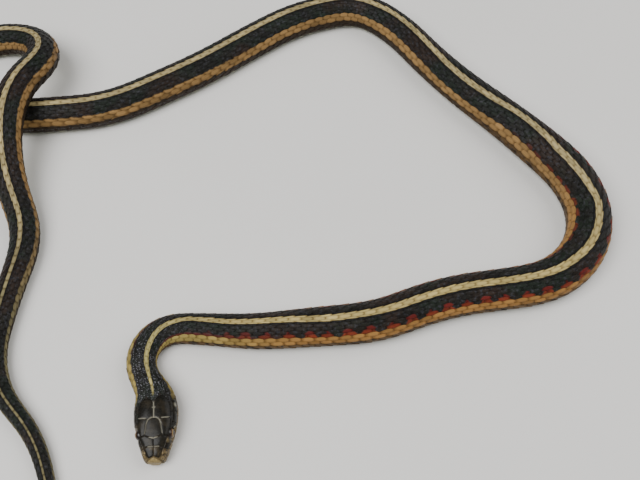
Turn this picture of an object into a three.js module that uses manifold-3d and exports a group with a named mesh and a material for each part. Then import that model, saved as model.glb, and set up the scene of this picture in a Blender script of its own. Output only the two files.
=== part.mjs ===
// A common garter snake at life size, lying still with its head on the floor.
// Millimetres, +Z up. The belly lies on the floor at z = 0, and the origin is the middle of the animal's footprint.
// The snout points towards -Y. Every length along the body is measured from the start of the spine, which lies a
// little ahead of the blunt tip of the snout.
import * as THREE from "three";
import { mergeVertices } from "three/addons/utils/BufferGeometryUtils.js";
import Module from "manifold-3d";

// Where the spine starts, which way it runs from there, counted from +X towards +Y, and how far along it the tip of
// the snout is.
const SPINE_X = -17.61;
const SPINE_Y = -61.94;
const SPINE_HEADING = 93.9;
const SNOUT_TIP = 0.9;

// Each bend of the spine from its start to the tip of the tail: how long it is, and how far it turns to the left.
const BENDS = [
  [14.6, 0],
  [7, 41.1],
  [7, -47],
  [13, -90.5],
  [14, -2],
  [12, 9.5],
  [18, -0.5],
  [14, 19],
  [23, -16.5],
  [12, 4],
  [35, 87],
  [15, 28.5],
  [30, 6.5],
  [31, -10.5],
  [17, 17.5],
  [14, 52],
  [24, 25],
  [17, 2],
  [18, -6.5],
  [14, -1],
  [18, -25],
  [28, -6],
  [82, -292.5],
  [17, 19],
  [28, 30.5],
  [18, -36],
  [20, 7],
  [23, 48.5],
  [18, -27],
  [26, 24],
  [32.4, 62],
];
const BEND_BLEND = 8;
const SPINE_STEP = 0.5;

// Where the body climbs over itself: the place on the upper length and on the lower one, and the rise and the fall.
const CROSSING_UPPER = 488;
const CROSSING_LOWER = 384;
const CROSSING_RISE = 46;
const CROSSING_FALL = 44;
const CROSSING_GAP = 0.5;

// Widths of neck, trunk and tail at stations along the body.
const HEAD_LENGTH = 21.5;
const BODY_WIDTHS = [
  [21.5, 8.05],
  [45, 8.5],
  [70, 10.4],
  [90, 11.2],
  [110, 11.4],
  [130, 11.4],
  [145, 11.9],
  [165, 12.9],
  [185, 13.1],
  [200, 12.5],
  [215, 11.7],
  [235, 11.3],
  [310, 11.2],
  [380, 10.9],
  [440, 10.5],
  [490, 10.1],
  [510, 9.5],
  [525, 8.9],
  [538, 8.2],
  [591, 5],
  [650, 1.5],
  [660, 0.8],
];
const WIDTH_BLEND = 4;
const BODY_HEIGHT_SHARE = [
  [21.5, 0.86],
  [70, 0.9],
  [525, 0.9],
  [600, 0.93],
  [660, 1],
];

// The head at stations along the spine: half its width, its top and its underside above the floor.
const HEAD_HALF_WIDTHS = [
  [SNOUT_TIP, 1.1],
  [1.1, 1.85],
  [1.5, 2.35],
  [2.2, 2.75],
  [3.7, 3.3],
  [6.2, 4.15],
  [8.7, 4.8],
  [11.3, 5.2],
  [13.8, 5.3],
  [16.3, 5.05],
  [18.9, 4.45],
  [20.2, 4.2],
  [21.5, 4.025],
];
const HEAD_TOPS = [
  [SNOUT_TIP, 3.4],
  [1.1, 4.05],
  [1.5, 4.5],
  [2.2, 4.85],
  [3.7, 5.3],
  [6.2, 5.95],
  [8.7, 6.35],
  [11.3, 6.65],
  [13.8, 6.8],
  [16.3, 6.85],
  [18.9, 6.8],
  [21.5, 6.923],
];
const HEAD_UNDERSIDES = [
  [SNOUT_TIP, 1.5],
  [1.1, 1],
  [1.5, 0.55],
  [2.2, 0.2],
  [3.2, 0],
  [21.5, 0],
];

// The section: how high up its widest point is, how far it would sink below the floor if the floor didn't flatten it,
// and how square it is above and below that point, where 2 is an ellipse.
const WIDEST_SHARE = 0.42;
const FLAT_SHARE = 0.04;
const UPPER_SQUARENESS = [
  [0, 2.3],
  [5, 3.1],
  [7, 3.8],
  [9, 3.5],
  [14, 2.8],
  [21.5, 2],
];
const LOWER_SQUARENESS = 2.5;

// Where the animal is parted: each length by name and where it ends.
const LENGTHS = [
  ["neck_front", 34],
  ["neck_rear", 50],
  ["trunk_01", 90],
  ["trunk_02", 130],
  ["trunk_03", 152],
  ["trunk_04", 175],
  ["trunk_05", 205],
  ["trunk_06", 236],
  ["trunk_07", 260],
  ["trunk_08", 285],
  ["trunk_09", 315],
  ["trunk_10", 350],
  ["trunk_11", 386],
  ["trunk_12", 404],
  ["trunk_13", 421],
  ["trunk_14", 438],
  ["trunk_15", 456],
  ["trunk_16", 474],
  ["trunk_17", 490],
  ["trunk_18", 507],
  ["trunk_19", 525],
  ["tail_1", 548],
  ["tail_2", 570],
  ["tail_3", 594],
  ["tail_4", 618],
  ["tail_5", 640],
  ["tail_6", 660],
];
const PART_GAP = 0.3;
const BODY_SIDES = 16;
const TAIL_SIDES = 12;
const HEAD_SIDES = 24;
const HEAD_RINGS = [SNOUT_TIP, 1.1, 1.5, 2.2, 3.7, 5.2, 6.6, 8, 9.5, 11.3, 13.8, 15.2, 16.5, 17.6, 18.9, 20.2, 21.35];

// The belly scutes: about how long each is as a share of the body's width and at least, how far each stands out, how
// wide the seam before it is, and the angle from the middle of the back at which they end.
const SCUTE_SHARE = 0.6;
const SCUTE_LEAST = 4.4;
const SCUTE_RISE = 0.4;
const SCUTE_SEAM = 0.6;
const SCUTE_EDGE = THREE.MathUtils.degToRad(120);

// The shields of the head: how far they stand out, the seam between two of them, and where along the nape the
// skin has risen to their level.
const SHIELD_RISE = 0.22;
const SHIELD_SEAM = 0.26;
const SHIELDS_END = 16.5;
const NAPE_LEVEL = 20.5;

// Shields seen from above: corners as distance to the side and distance along the spine. The paired ones are those of
// the left side, and the single ones give their left half.
const CROWN_PAIRS = {
  internasal: [[0, 2.2], [0, 4.6], [1.3, 4.55], [1.8, 4.2], [1.5, 2.8], [0.95, 2]],
  prefrontal: [[0, 4.6], [0, 6.5], [2.1, 7.2], [2.9, 6.6], [2.65, 5.2], [1.8, 4.2], [1.3, 4.55]],
  supraocular: [[2.1, 7.2], [1.5, 10.2], [1.9, 10.75], [3.5, 10.9], [3.55, 9], [3.4, 7.3], [2.9, 6.6]],
  parietal: [[0, 10.9], [0, 14.9], [1, 15.9], [2.3, 16.1], [3.3, 15], [3.7, 13], [3.5, 10.9], [1.9, 10.75], [1.5, 10.2]],
};
const CROWN_SINGLES = {
  rostral: [[0, -1], [1.1, -1], [1.1, 1.2], [0, 2.1]],
  frontal: [[0, 6.5], [2.1, 7.2], [1.5, 10.2], [0, 10.9]],
};
const CROWN_FROM = 2;
const CROWN_TO = 9;

// Shields of the cheek seen from the side: corners as distance along the spine and height.
const CHEEK = {
  nasal: [[1.5, 3.2], [1.6, 4.1], [2.8, 4.7], [3.9, 4.95], [3.9, 3.4]],
  loreal: [[3.9, 3.4], [3.9, 4.95], [5, 5.2], [5, 3.5]],
  preocular: [[5, 3.5], [5, 5.2], [6.3, 5.5], [6.3, 3.4]],
  postocular: [[8.8, 3.3], [8.8, 5.7], [10, 5.8], [10, 3.5]],
  front_temporal: [[10, 3.5], [10, 5.8], [12.3, 6], [12.7, 4.9], [12.1, 3.8]],
  rear_temporal: [[12.7, 4.9], [12.3, 6], [14.7, 6.1], [15.2, 4.8], [14.4, 3.9], [12.1, 3.8]],
};
const CHEEK_FROM = 1.3;
const CHEEK_TO = 8;

// The lip shields stand in a row above the mouth and one below it: where each starts, and the row's other edge there.
const UPPER_LIP = [[1.2, 3], [2.8, 3.2], [4.4, 3.4], [6, 3.4], [7.8, 3.3], [9.9, 3.5], [12.1, 3.8], [14.4, 3.9]];
const LOWER_LIP = [[1, 0.6], [2.5, 0.55], [4.1, 0.6], [5.8, 0.7], [7.7, 0.8], [9.8, 0.9], [12, 1], [14.1, 1.1]];

// Shields of the chin and throat seen from above.
const CHIN_PAIRS = {
  front_chin: [[0, 2.3], [1.1, 2], [2.1, 3.4], [2.1, 5.4], [0, 5.9]],
  rear_chin: [[0, 5.9], [2.1, 5.4], [2.6, 7.5], [2, 10.3], [0, 9.8]],
};
const CHIN_SINGLES = {
  mental: [[0, -1], [0.9, -1], [1.1, 2], [0, 2.3]],
  front_throat: [[0, 9.8], [2, 10.3], [2.4, 13.2], [0, 13.2]],
  rear_throat: [[0, 13.2], [2.4, 13.2], [2.4, 16.2], [0, 16.2]],
};
const CHIN_FROM = -1;
const CHIN_TO = 1.2;

// The mouth's cut seen from the side: distance along the spine and height above the floor, back to the corner of the
// mouth and then down behind the jaw.
const MOUTH_LINE = [
  [-1, 1.95],
  [1, 1.95],
  [5, 2.1],
  [9, 2.35],
  [12.5, 2.75],
  [14.8, 2.7],
  [16.4, 1.6],
  [17, -1],
];

// The eyes and the nostrils.
const EYE_BACK = 7.6;
const EYE_OUT = 3.35;
const EYE_HEIGHT = 4.2;
const EYE_RADIUS = 1.4;
const NOSTRIL_BACK = 2.6;
const NOSTRIL_OUT = 2.45;
const NOSTRIL_HEIGHT = 4;
const NOSTRIL_RADIUS = 0.42;

// Turns a shape drawn as distance back and height into one that stands along the head and is as thick as x runs.
const SIDEWAYS = new THREE.Matrix4().makeBasis(
  new THREE.Vector3(0, 1, 0),
  new THREE.Vector3(0, 0, 1),
  new THREE.Vector3(1, 0, 0),
);

// The value at a place in a list of [place, value] stations, in straight steps between them.
function at(stations, place) {
  const next = stations.findIndex(([station]) => station >= place);
  if (next === 0) return stations[0][1];
  if (next < 0) return stations[stations.length - 1][1];
  const [before, low] = stations[next - 1];
  const [after, high] = stations[next];
  return THREE.MathUtils.mapLinear(place, before, after, low, high);
}

// A ramp that is 0 before 0 and equal to x after it, rounded over BEND_BLEND, so that one bend runs into the next.
function glide(x) {
  const half = BEND_BLEND / 2;
  if (x <= -half) return 0;
  return x >= half ? x : (x + half) ** 2 / (2 * BEND_BLEND);
}

// The spine's heading in degrees at a distance along it.
function heading(s) {
  let start = 0;
  let sum = SPINE_HEADING;
  for (const [length, turn] of BENDS) {
    sum += (turn / length) * (glide(s - start) - glide(s - start - length));
    start += length;
  }
  return sum;
}

// The spine as points on the floor, one each SPINE_STEP, walked from its start.
function walkSpine() {
  const total = BENDS.reduce((sum, [length]) => sum + length, 0);
  const points = [new THREE.Vector2(SPINE_X, SPINE_Y)];
  for (let i = 0; i < total / SPINE_STEP; i++) {
    const angle = THREE.MathUtils.degToRad(heading((i + 0.5) * SPINE_STEP));
    const stride = new THREE.Vector2(Math.cos(angle), Math.sin(angle)).multiplyScalar(SPINE_STEP);
    points.push(points[i].clone().add(stride));
  }
  return points;
}

const SPINE = walkSpine();

// The point on the floor under the spine at a distance along it.
function spinePoint(s) {
  const i = Math.min(Math.max(Math.floor(s / SPINE_STEP), 0), SPINE.length - 2);
  return SPINE[i].clone().lerp(SPINE[i + 1], s / SPINE_STEP - i);
}

// The body's width, with the stations' corners rounded by taking the mean of a few places.
function bodyWidth(s) {
  let sum = 0;
  for (let k = -2; k <= 2; k++) sum += at(BODY_WIDTHS, s + k * WIDTH_BLEND);
  return sum / 5;
}

// Half the width, the top and the underside at a distance along the spine, the underside without the climb.
function profile(s) {
  if (s < HEAD_LENGTH) {
    return {
      half: at(HEAD_HALF_WIDTHS, s),
      top: at(HEAD_TOPS, s),
      underside: at(HEAD_UNDERSIDES, s),
    };
  }
  const width = bodyWidth(s);
  return { half: width / 2, top: width * at(BODY_HEIGHT_SHARE, s), underside: 0 };
}

// How far the belly is off the floor where the body climbs over itself.
function climb(s) {
  const run = s < CROSSING_UPPER ? (CROSSING_UPPER - s) / CROSSING_RISE : (s - CROSSING_UPPER) / CROSSING_FALL;
  if (run >= 1) return 0;
  return (profile(CROSSING_LOWER).top + CROSSING_GAP) * 0.5 * (1 + Math.cos(Math.PI * run));
}

// A point of the surface: s along the body, angle round it from the middle of the back towards the animal's right,
// and how far in from the outermost surface it is.
function surface(s, angle, inset) {
  const { half, top, underside } = profile(s);
  const middle = underside + (top - underside) * WIDEST_SHARE;
  const above = Math.cos(angle) > 0;
  const power = 2 / (above ? at(UPPER_SQUARENESS, s) : LOWER_SQUARENESS);
  const side = Math.sign(Math.sin(angle)) * Math.abs(Math.sin(angle)) ** power;
  const rise = Math.abs(Math.cos(angle)) ** power;
  const upper = middle + rise * (top - middle - inset);
  const lower = middle - rise * (middle - underside + (top - underside) * FLAT_SHARE - inset);
  const height = above ? upper : Math.max(lower, underside + inset);
  const across = THREE.MathUtils.degToRad(heading(s) + 90);
  const reach = side * (half - inset);
  const point = spinePoint(s);
  return new THREE.Vector3(
    point.x + Math.cos(across) * reach,
    point.y + Math.sin(across) * reach,
    height + climb(s),
  );
}

// The middle of a section, where an end face's triangles meet.
function core(s) {
  const point = spinePoint(s);
  const { top, underside } = profile(s);
  return new THREE.Vector3(point.x, point.y, underside + (top - underside) * WIDEST_SHARE + climb(s));
}

// Only the corners of a closed shape, with those that meet merged.
function cornersOnly(geometry) {
  geometry.deleteAttribute("normal");
  geometry.deleteAttribute("uv");
  return mergeVertices(geometry, 1e-4);
}

// A closed length of the body: a cylinder whose rings are laid on the surface at the given distances, as far in as
// the function insetAt says for a ring and an angle.
function bodyLength(rings, sides, insetAt) {
  const geometry = cornersOnly(new THREE.CylinderGeometry(1, 1, 1, sides, rings.length - 1));
  const position = geometry.getAttribute("position");
  const corner = new THREE.Vector3();
  for (let i = 0; i < position.count; i++) {
    corner.fromBufferAttribute(position, i);
    const ring = Math.round((0.5 - corner.y) * (rings.length - 1));
    const onAxis = Math.hypot(corner.x, corner.z) < 0.5;
    const angle = Math.atan2(corner.x, corner.z);
    const placed = onAxis ? core(rings[ring]) : surface(rings[ring], angle, insetAt(ring, angle));
    position.setXYZ(i, placed.x, placed.y, placed.z);
  }
  geometry.computeVertexNormals();
  return geometry;
}

// A length of neck, trunk or tail, with a whole number of belly scutes. Each scute has a ring in the seam before it, a
// ring at its front edge and one at its rear edge.
function scutedLength(start, end, sides) {
  const about = Math.max(SCUTE_SHARE * bodyWidth((start + end) / 2), SCUTE_LEAST);
  const count = Math.round((end - start) / about);
  const length = (end - start) / count;
  const rings = [];
  for (let i = 0; i < count; i++) {
    const front = start + i * length;
    rings.push(front, front + SCUTE_SEAM, front + length - SCUTE_SEAM / 2);
  }
  rings.push(end);
  return bodyLength(rings, sides, (ring, angle) => {
    const inSeam = ring % 3 === 0 && Math.abs(angle) > SCUTE_EDGE;
    return inSeam ? Math.min(SCUTE_RISE, profile(rings[ring]).half * 0.1) : 0;
  });
}

const wasm = await Module();
wasm.setup();

// A closed geometry as a solid that can be cut and joined.
function solid(geometry) {
  const closed = cornersOnly(geometry.clone());
  return new wasm.Manifold(
    new wasm.Mesh({
      numProp: 3,
      vertProperties: new Float32Array(closed.getAttribute("position").array),
      triVerts: new Uint32Array(closed.index.array),
    }),
  );
}

// A solid as a geometry.
function geometryOf(body) {
  const mesh = body.getMesh();
  const geometry = new THREE.BufferGeometry();
  geometry.setAttribute("position", new THREE.BufferAttribute(mesh.vertProperties, 3));
  geometry.setIndex(new THREE.BufferAttribute(mesh.triVerts, 1));
  geometry.computeVertexNormals();
  return geometry;
}

// A solid's separate bodies, the largest first.
function bodiesOf(body) {
  return body.decompose().sort((a, b) => b.volume() - a.volume());
}

// The straight frame of the head: x to the animal's left, y back from the spine's start, z up.
function headFrame() {
  const frame = new THREE.Matrix4();
  frame.makeRotationZ(THREE.MathUtils.degToRad(SPINE_HEADING - 90));
  frame.setPosition(SPINE_X, SPINE_Y, 0);
  return frame;
}

// An outline with each edge moved inwards by a margin.
function shrink(outline, margin) {
  const turn = THREE.ShapeUtils.isClockWise(outline) ? -1 : 1;
  const inward = outline.map((corner, i) => {
    const edge = outline[(i + 1) % outline.length].clone().sub(corner).normalize();
    return new THREE.Vector2(-edge.y, edge.x).multiplyScalar(turn);
  });
  return outline.map((corner, i) => {
    const before = inward[(i + outline.length - 1) % outline.length];
    const share = margin / (1 + before.dot(inward[i]));
    return corner.clone().addScaledVector(before, share).addScaledVector(inward[i], share);
  });
}

// A block with the outline of one shield, less half the seam round it, between two depths in the head's own frame.
// Sideways ones are drawn from the side, and the others from above.
function shieldBlock(outline, from, to, sideways) {
  const corners = outline.map(([a, b]) => new THREE.Vector2(a, b));
  const block = new THREE.ExtrudeGeometry(new THREE.Shape(shrink(corners, SHIELD_SEAM / 2)), {
    depth: to - from,
    bevelEnabled: false,
  });
  block.translate(0, 0, from);
  if (sideways) block.applyMatrix4(SIDEWAYS);
  return solid(block.applyMatrix4(headFrame()));
}

// The outline of a single shield from its left half.
function bothHalves(half) {
  const right = half.filter(([x]) => x > 0).map(([x, back]) => [-x, back]);
  return [...half, ...right.reverse()];
}

// The outlines of a row of lip shields on one side of the mouth line.
function lipOutlines(row) {
  return row.slice(1).map(([rear, rearEdge], i) => {
    const [front, frontEdge] = row[i];
    return [[front, at(MOUTH_LINE, front)], [front, frontEdge], [rear, rearEdge], [rear, at(MOUTH_LINE, rear)]];
  });
}

// The blocks of all the shields of the head.
function shieldBlocks() {
  const blocks = [];
  for (const side of [1, -1]) {
    const mirrored = (outline) => outline.map(([x, back]) => [side * x, back]);
    const [near, far] = side > 0 ? [CHEEK_FROM, CHEEK_TO] : [-CHEEK_TO, -CHEEK_FROM];
    const fromSide = [...Object.values(CHEEK), ...lipOutlines(UPPER_LIP), ...lipOutlines(LOWER_LIP)];
    blocks.push(...Object.values(CROWN_PAIRS).map((half) => shieldBlock(mirrored(half), CROWN_FROM, CROWN_TO, false)));
    blocks.push(...Object.values(CHIN_PAIRS).map((half) => shieldBlock(mirrored(half), CHIN_FROM, CHIN_TO, false)));
    blocks.push(...fromSide.map((outline) => shieldBlock(outline, near, far, true)));
  }
  for (const half of Object.values(CROWN_SINGLES)) {
    blocks.push(shieldBlock(bothHalves(half), CROWN_FROM, CROWN_TO, false));
  }
  for (const half of Object.values(CHIN_SINGLES)) {
    blocks.push(shieldBlock(bothHalves(half), CHIN_FROM, CHIN_TO, false));
  }
  return blocks;
}

// The thin sheet that parts the jaw from the head, as a band along the mouth line that reaches through the head.
function mouthCut() {
  const line = MOUTH_LINE.map(([back, height]) => new THREE.Vector2(back, height));
  const edge = (side) =>
    line.map((corner, i) => {
      const along = line[Math.min(i + 1, line.length - 1)].clone().sub(line[Math.max(i - 1, 0)]).normalize();
      return corner.clone().add(new THREE.Vector2(-along.y, along.x).multiplyScalar((side * PART_GAP) / 2));
    });
  const band = new THREE.Shape([...edge(-1), ...edge(1).reverse()]);
  const sheet = new THREE.ExtrudeGeometry(band, { depth: 2 * CHEEK_TO, bevelEnabled: false });
  sheet.translate(0, 0, -CHEEK_TO);
  return solid(sheet.applyMatrix4(SIDEWAYS).applyMatrix4(headFrame()));
}

// A ball in the head's frame, on the animal's left for side 1 and on its right for side -1.
function ballAt(side, radius, out, back, height) {
  const ball = new THREE.SphereGeometry(radius, 16, 10);
  ball.translate(side * out, back, height);
  return ball.applyMatrix4(headFrame());
}

function eyeBall(side, radius) {
  return ballAt(side, radius, EYE_OUT, EYE_BACK, EYE_HEIGHT);
}

// The head and the lower jaw: a core with shields standing out of it, parted by the mouth, with sockets and nostrils.
function headAndJaw() {
  const coreInset = (ring) => {
    return SHIELD_RISE * (1 - THREE.MathUtils.smoothstep(HEAD_RINGS[ring], SHIELDS_END, NAPE_LEVEL));
  };
  const outermost = solid(bodyLength(HEAD_RINGS, HEAD_SIDES, () => 0));
  const bare = solid(bodyLength(HEAD_RINGS, HEAD_SIDES, coreInset));
  const whole = shieldBlocks().reduce((body, block) => body.add(outermost.intersect(block)), bare);
  const [upper, jaw] = bodiesOf(whole.subtract(mouthCut()));
  const holes = [1, -1].flatMap((side) => [
    eyeBall(side, EYE_RADIUS + PART_GAP),
    ballAt(side, NOSTRIL_RADIUS, NOSTRIL_OUT, NOSTRIL_BACK, NOSTRIL_HEIGHT),
  ]);
  const head = holes.reduce((body, hole) => body.subtract(solid(hole)), upper);
  return [bodiesOf(head)[0], jaw];
}

const backScales = new THREE.MeshStandardMaterial({ color: 0x2b2a26, roughness: 0.45, metalness: 0 });
const headShields = new THREE.MeshStandardMaterial({ color: 0x1d1a17, roughness: 0.25, metalness: 0 });
const chinScales = new THREE.MeshStandardMaterial({ color: 0xb7a878, roughness: 0.4, metalness: 0 });
const eyeGloss = new THREE.MeshStandardMaterial({ color: 0x15100c, roughness: 0.05, metalness: 0 });

const snake = new THREE.Group();

// Adds one named piece to the animal.
function add(name, geometry, material) {
  const mesh = new THREE.Mesh(geometry, material);
  mesh.name = name;
  snake.add(mesh);
}

const [head, jaw] = headAndJaw();
add("head", geometryOf(head), headShields);
add("lower_jaw", geometryOf(jaw), chinScales);
add("eye_left", eyeBall(1, EYE_RADIUS), eyeGloss);
add("eye_right", eyeBall(-1, EYE_RADIUS), eyeGloss);

let start = HEAD_LENGTH;
for (const [name, end] of LENGTHS) {
  const rear = name === "tail_6" ? end : end - PART_GAP / 2;
  const sides = name.startsWith("tail") ? TAIL_SIDES : BODY_SIDES;
  add(name, scutedLength(start + PART_GAP / 2, rear, sides), backScales);
  start = end;
}

export default snake;
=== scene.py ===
"""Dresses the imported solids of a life-size garter snake model.

One skin covers the whole animal. Over it lie ridged back scales, broad belly scales, head plates and two
eyes. Sizes here are in millimetres, as in the part's source, and become metres when a mesh is made.
"""

import logging
import math
from dataclasses import dataclass
from enum import Enum

import bmesh
import bpy
import numpy as np
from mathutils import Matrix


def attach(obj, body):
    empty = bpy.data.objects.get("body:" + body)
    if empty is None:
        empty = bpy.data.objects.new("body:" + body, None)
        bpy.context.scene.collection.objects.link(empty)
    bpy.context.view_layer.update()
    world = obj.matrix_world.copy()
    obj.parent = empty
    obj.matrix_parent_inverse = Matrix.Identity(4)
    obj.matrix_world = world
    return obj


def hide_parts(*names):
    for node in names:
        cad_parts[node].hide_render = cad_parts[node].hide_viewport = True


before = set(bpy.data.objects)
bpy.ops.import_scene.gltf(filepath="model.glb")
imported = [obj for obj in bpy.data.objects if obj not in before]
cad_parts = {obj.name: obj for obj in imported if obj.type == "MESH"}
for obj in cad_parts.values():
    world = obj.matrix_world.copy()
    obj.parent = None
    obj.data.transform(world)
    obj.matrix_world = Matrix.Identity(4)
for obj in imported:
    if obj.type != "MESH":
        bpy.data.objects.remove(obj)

Array = np.ndarray
Material = bpy.types.Material
Socket = bpy.types.NodeSocket

MM = 0.001
LOG = logging.getLogger("garter_snake")

# The resting curves: length of each bend and its turn in degrees, left positive, from snout to tail.
# Distances along the body are counted from the spine's start, a little ahead of the snout's blunt tip.
SPINE_X, SPINE_Y = -17.61, -61.94
SPINE_HEADING = 93.9
SNOUT_TIP = 0.9
BENDS = (
    (14.6, 0), (7, 41.1), (7, -47), (13, -90.5), (14, -2), (12, 9.5), (18, -0.5), (14, 19),
    (23, -16.5), (12, 4), (35, 87), (15, 28.5), (30, 6.5), (31, -10.5), (17, 17.5), (14, 52),
    (24, 25), (17, 2), (18, -6.5), (14, -1), (18, -25), (28, -6), (82, -292.5), (17, 19),
    (28, 30.5), (18, -36), (20, 7), (23, 48.5), (18, -27), (26, 24), (32.4, 62),
)
BEND_BLEND = 4
SPINE_STEP = 0.5
BODY_LENGTH = 660
# The form is read no nearer to its two tips than this
CHART_ENDS = (SNOUT_TIP + 0.02, BODY_LENGTH - 0.05)
NORMAL_ENDS = (SNOUT_TIP + 0.08, BODY_LENGTH - 0.3)
COAT_ENDS = (SNOUT_TIP + 0.5, BODY_LENGTH - 0.05)
HEAD_LENGTH = 21.5
VENT = 525

# Where the body passes over itself
CROSSING_UPPER, CROSSING_LOWER = 488, 384
CROSSING_RISE, CROSSING_FALL, CROSSING_GAP = 46, 44, 0.5

# Sections of the body: width, and height as a share of it, by distance from the snout
BODY_WIDTHS = (
    (21.5, 8.05), (45, 8.5), (70, 10.4), (90, 11.2), (110, 11.4), (130, 11.4), (145, 11.9), (165, 12.9),
    (185, 13.1), (200, 12.5), (215, 11.7), (235, 11.3), (310, 11.2), (380, 10.9), (440, 10.5), (490, 10.1),
    (510, 9.5), (525, 8.9), (538, 8.2), (591, 5), (650, 1.5), (660, 0.8),
)
WIDTH_BLEND = 4
# The solids run straight between their sections, so the rounder form here is drawn in by this much
BEND_INSET = 0.2
THIN_TAIL = 600
BODY_HEIGHT_SHARES = ((21.5, 0.86), (70, 0.9), (525, 0.9), (600, 0.93), (660, 1))
WIDEST_SHARE = 0.42
FLAT_SHARE = 0.04
LOWER_SQUARENESS = 2.5
TAIL_TIP = 1.2

# Sections of the head by distance from the snout
HEAD_HALF_WIDTHS = (
    (SNOUT_TIP, 0), (1.1, 1.8), (1.5, 2.3), (2.2, 2.75), (3.7, 3.3), (6.2, 4.15), (8.7, 4.8), (11.3, 5.2),
    (13.8, 5.3), (16.3, 5.05), (18.9, 4.45), (20.2, 4.2), (21.5, 4.02),
)
HEAD_TOPS = (
    (SNOUT_TIP, 2.5), (1.1, 4), (1.5, 4.45), (2.2, 4.85), (3.7, 5.3), (6.2, 5.95), (8.7, 6.35), (11.3, 6.65),
    (13.8, 6.8), (16.3, 6.85), (18.9, 6.85), (21.5, 6.95),
)
HEAD_UNDERSIDES = ((SNOUT_TIP, 2.5), (1.1, 1.05), (1.5, 0.55), (2.2, 0.2), (3.2, 0), (21.5, 0))
UPPER_SQUARENESS = ((0, 2.3), (5, 3.1), (7, 3.8), (9, 3.5), (14, 2.8), (21.5, 2))
NECK_BLEND = (19, 24)

# Head plates on half the head: side distance and distance back, seen from above or below
CROWN_PAIRS = {
    "internasal": ((0, 2.1), (0, 4.25), (1.5, 4.25), (2.35, 4), (1.9, 2.8), (1.6, 2), (1.2, 1.65)),
    "prefrontal": ((0, 4.25), (0, 6.1), (2.1, 6.8), (3.3, 6.5), (2.8, 5.1), (2.35, 4), (1.5, 4.25)),
    "supraocular": (
        (2.1, 6.8), (1.7, 9.5), (1.35, 10.4), (1.9, 10.75), (4, 10.9), (4, 9), (3.75, 7.6), (3.3, 6.5),
    ),
    "parietal": (
        (0, 10.95), (0, 14.9), (1, 15.9), (2.3, 16.1), (3.4, 15.2), (3.9, 13.5), (4, 10.9), (1.9, 10.75),
        (1.35, 10.4), (0.7, 10.85),
    ),
}
FRONTAL = ((0, 6.1), (2.1, 6.8), (1.7, 9.5), (1.35, 10.4), (0.7, 10.85), (0, 10.95))
# The crown's pale seams on half the head, partly pale skin and partly painted glints on the plate edges: two
# ends, each as side distance and distance back, and how pale
PALE_SEAMS_AND_GLINTS = (
    ((0, 10.95), (0, 15.8), 0.85), ((0, 10.95), (0.7, 10.85), 0.65), ((0.7, 10.85), (1.35, 10.4), 0.6),
    ((1.35, 10.4), (1.7, 9.5), 0.6), ((1.7, 9.5), (2.05, 7.2), 0.4), ((1.9, 10.75), (3.6, 10.9), 0.6),
    ((0, 6.1), (0.9, 6.35), 0.75), ((0.25, 4.25), (1.3, 4.25), 0.5), ((0, 15.8), (1, 16.8), 0.7),
)
PALE_SEAM_GLINT_WIDTH = 0.17
PALE_SEAM_GLINT_CORE = PALE_SEAM_GLINT_WIDTH * 0.35
CHIN_PAIRS = {
    "front_chin": ((0, 2.4), (1.1, 2.05), (2.1, 3.4), (2.1, 5.4), (0, 5.9)),
    "rear_chin": ((0, 5.9), (2.1, 5.4), (2.6, 7.5), (2, 10.3), (0, 9.8)),
}
# Cheek plates seen from the side: distance back and height
CHEEK = {
    "nasal": ((1.35, 3.05), (1.4, 4), (2.8, 4.7), (3.9, 4.95), (3.9, 3.4)),
    "loreal": ((3.9, 3.4), (3.9, 4.95), (5, 5.2), (5, 3.5)),
    "preocular": ((5, 3.5), (5, 5.2), (6.3, 5.5), (6.9, 5.4), (6.9, 3.4)),
    "lower_postocular": ((8.3, 3.35), (8.3, 4.15), (10, 4.25), (10, 3.5)),
    "middle_postocular": ((8.3, 4.15), (8.3, 4.9), (10, 5), (10, 4.25)),
    "upper_postocular": ((8.3, 4.9), (8.2, 5.65), (10, 5.8), (10, 5)),
    "front_temporal": ((10, 3.5), (10, 5.8), (12.3, 6), (12.7, 4.9), (12.1, 3.8)),
    "rear_temporal": ((12.7, 4.9), (12.3, 6), (14.7, 6.1), (15.2, 4.8), (14.4, 3.9), (12.1, 3.8)),
}
UPPER_LIP = ((1.35, 3), (2.8, 3.2), (4.4, 3.4), (6, 3.4), (7.8, 3.3), (9.9, 3.5), (12.1, 3.8), (14.4, 3.9))
LOWER_LIP = ((1.3, 0.8), (2.6, 0.6), (4.1, 0.6), (5.8, 0.7), (7.7, 0.8), (9.8, 0.9), (12, 1), (14.1, 1.1))
MOUTH_LINE = ((-1, 1.95), (1, 1.95), (5, 2.1), (9, 2.35), (12.5, 2.75), (14.8, 2.7))
MOUTH_END = 14.8
MOUTH_DEPTH, MOUTH_WIDTH = 0.22, 0.18
MOUTH_FADE = (MOUTH_END + 0.4, MOUTH_END - 0.6)
# How tan each plate is, from black-brown at 0 to tan at 1
PLATE_TANS = {
    "internasal": 0.36, "prefrontal": 0.05, "supraocular": 0.0, "parietal": 0.0, "frontal": 0.0,
    "nasal": 0.75, "loreal": 0.3, "preocular": 0.4, "lower_postocular": 0.3, "middle_postocular": 0.3,
    "upper_postocular": 0.3, "front_temporal": 0.08, "rear_temporal": 0.08, "upper_lip": 0.75,
    "lower_lip": 0.9, "rostral": 1.0, "mental": 1.0, "chin": 1.0,
}
# Snout tip plates, seen from a point inside the snout: side distance and arc up (or down) round the tip
WRAP_CENTRE = (2.6, 2.5)
WRAP_RADIUS = 2.2
WRAP_REACH = 6.0
WRAP_TRIES = 40
WRAP_LEAST = 1e-6
ROSTRAL = ((0, -0.55), (1.45, -0.55), (1.75, 0.6), (1.45, 1.85), (0, 2.85))
MENTAL = ((0, -0.93), (1, -0.93), (1.1, -2.5), (0, -3.1))

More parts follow.
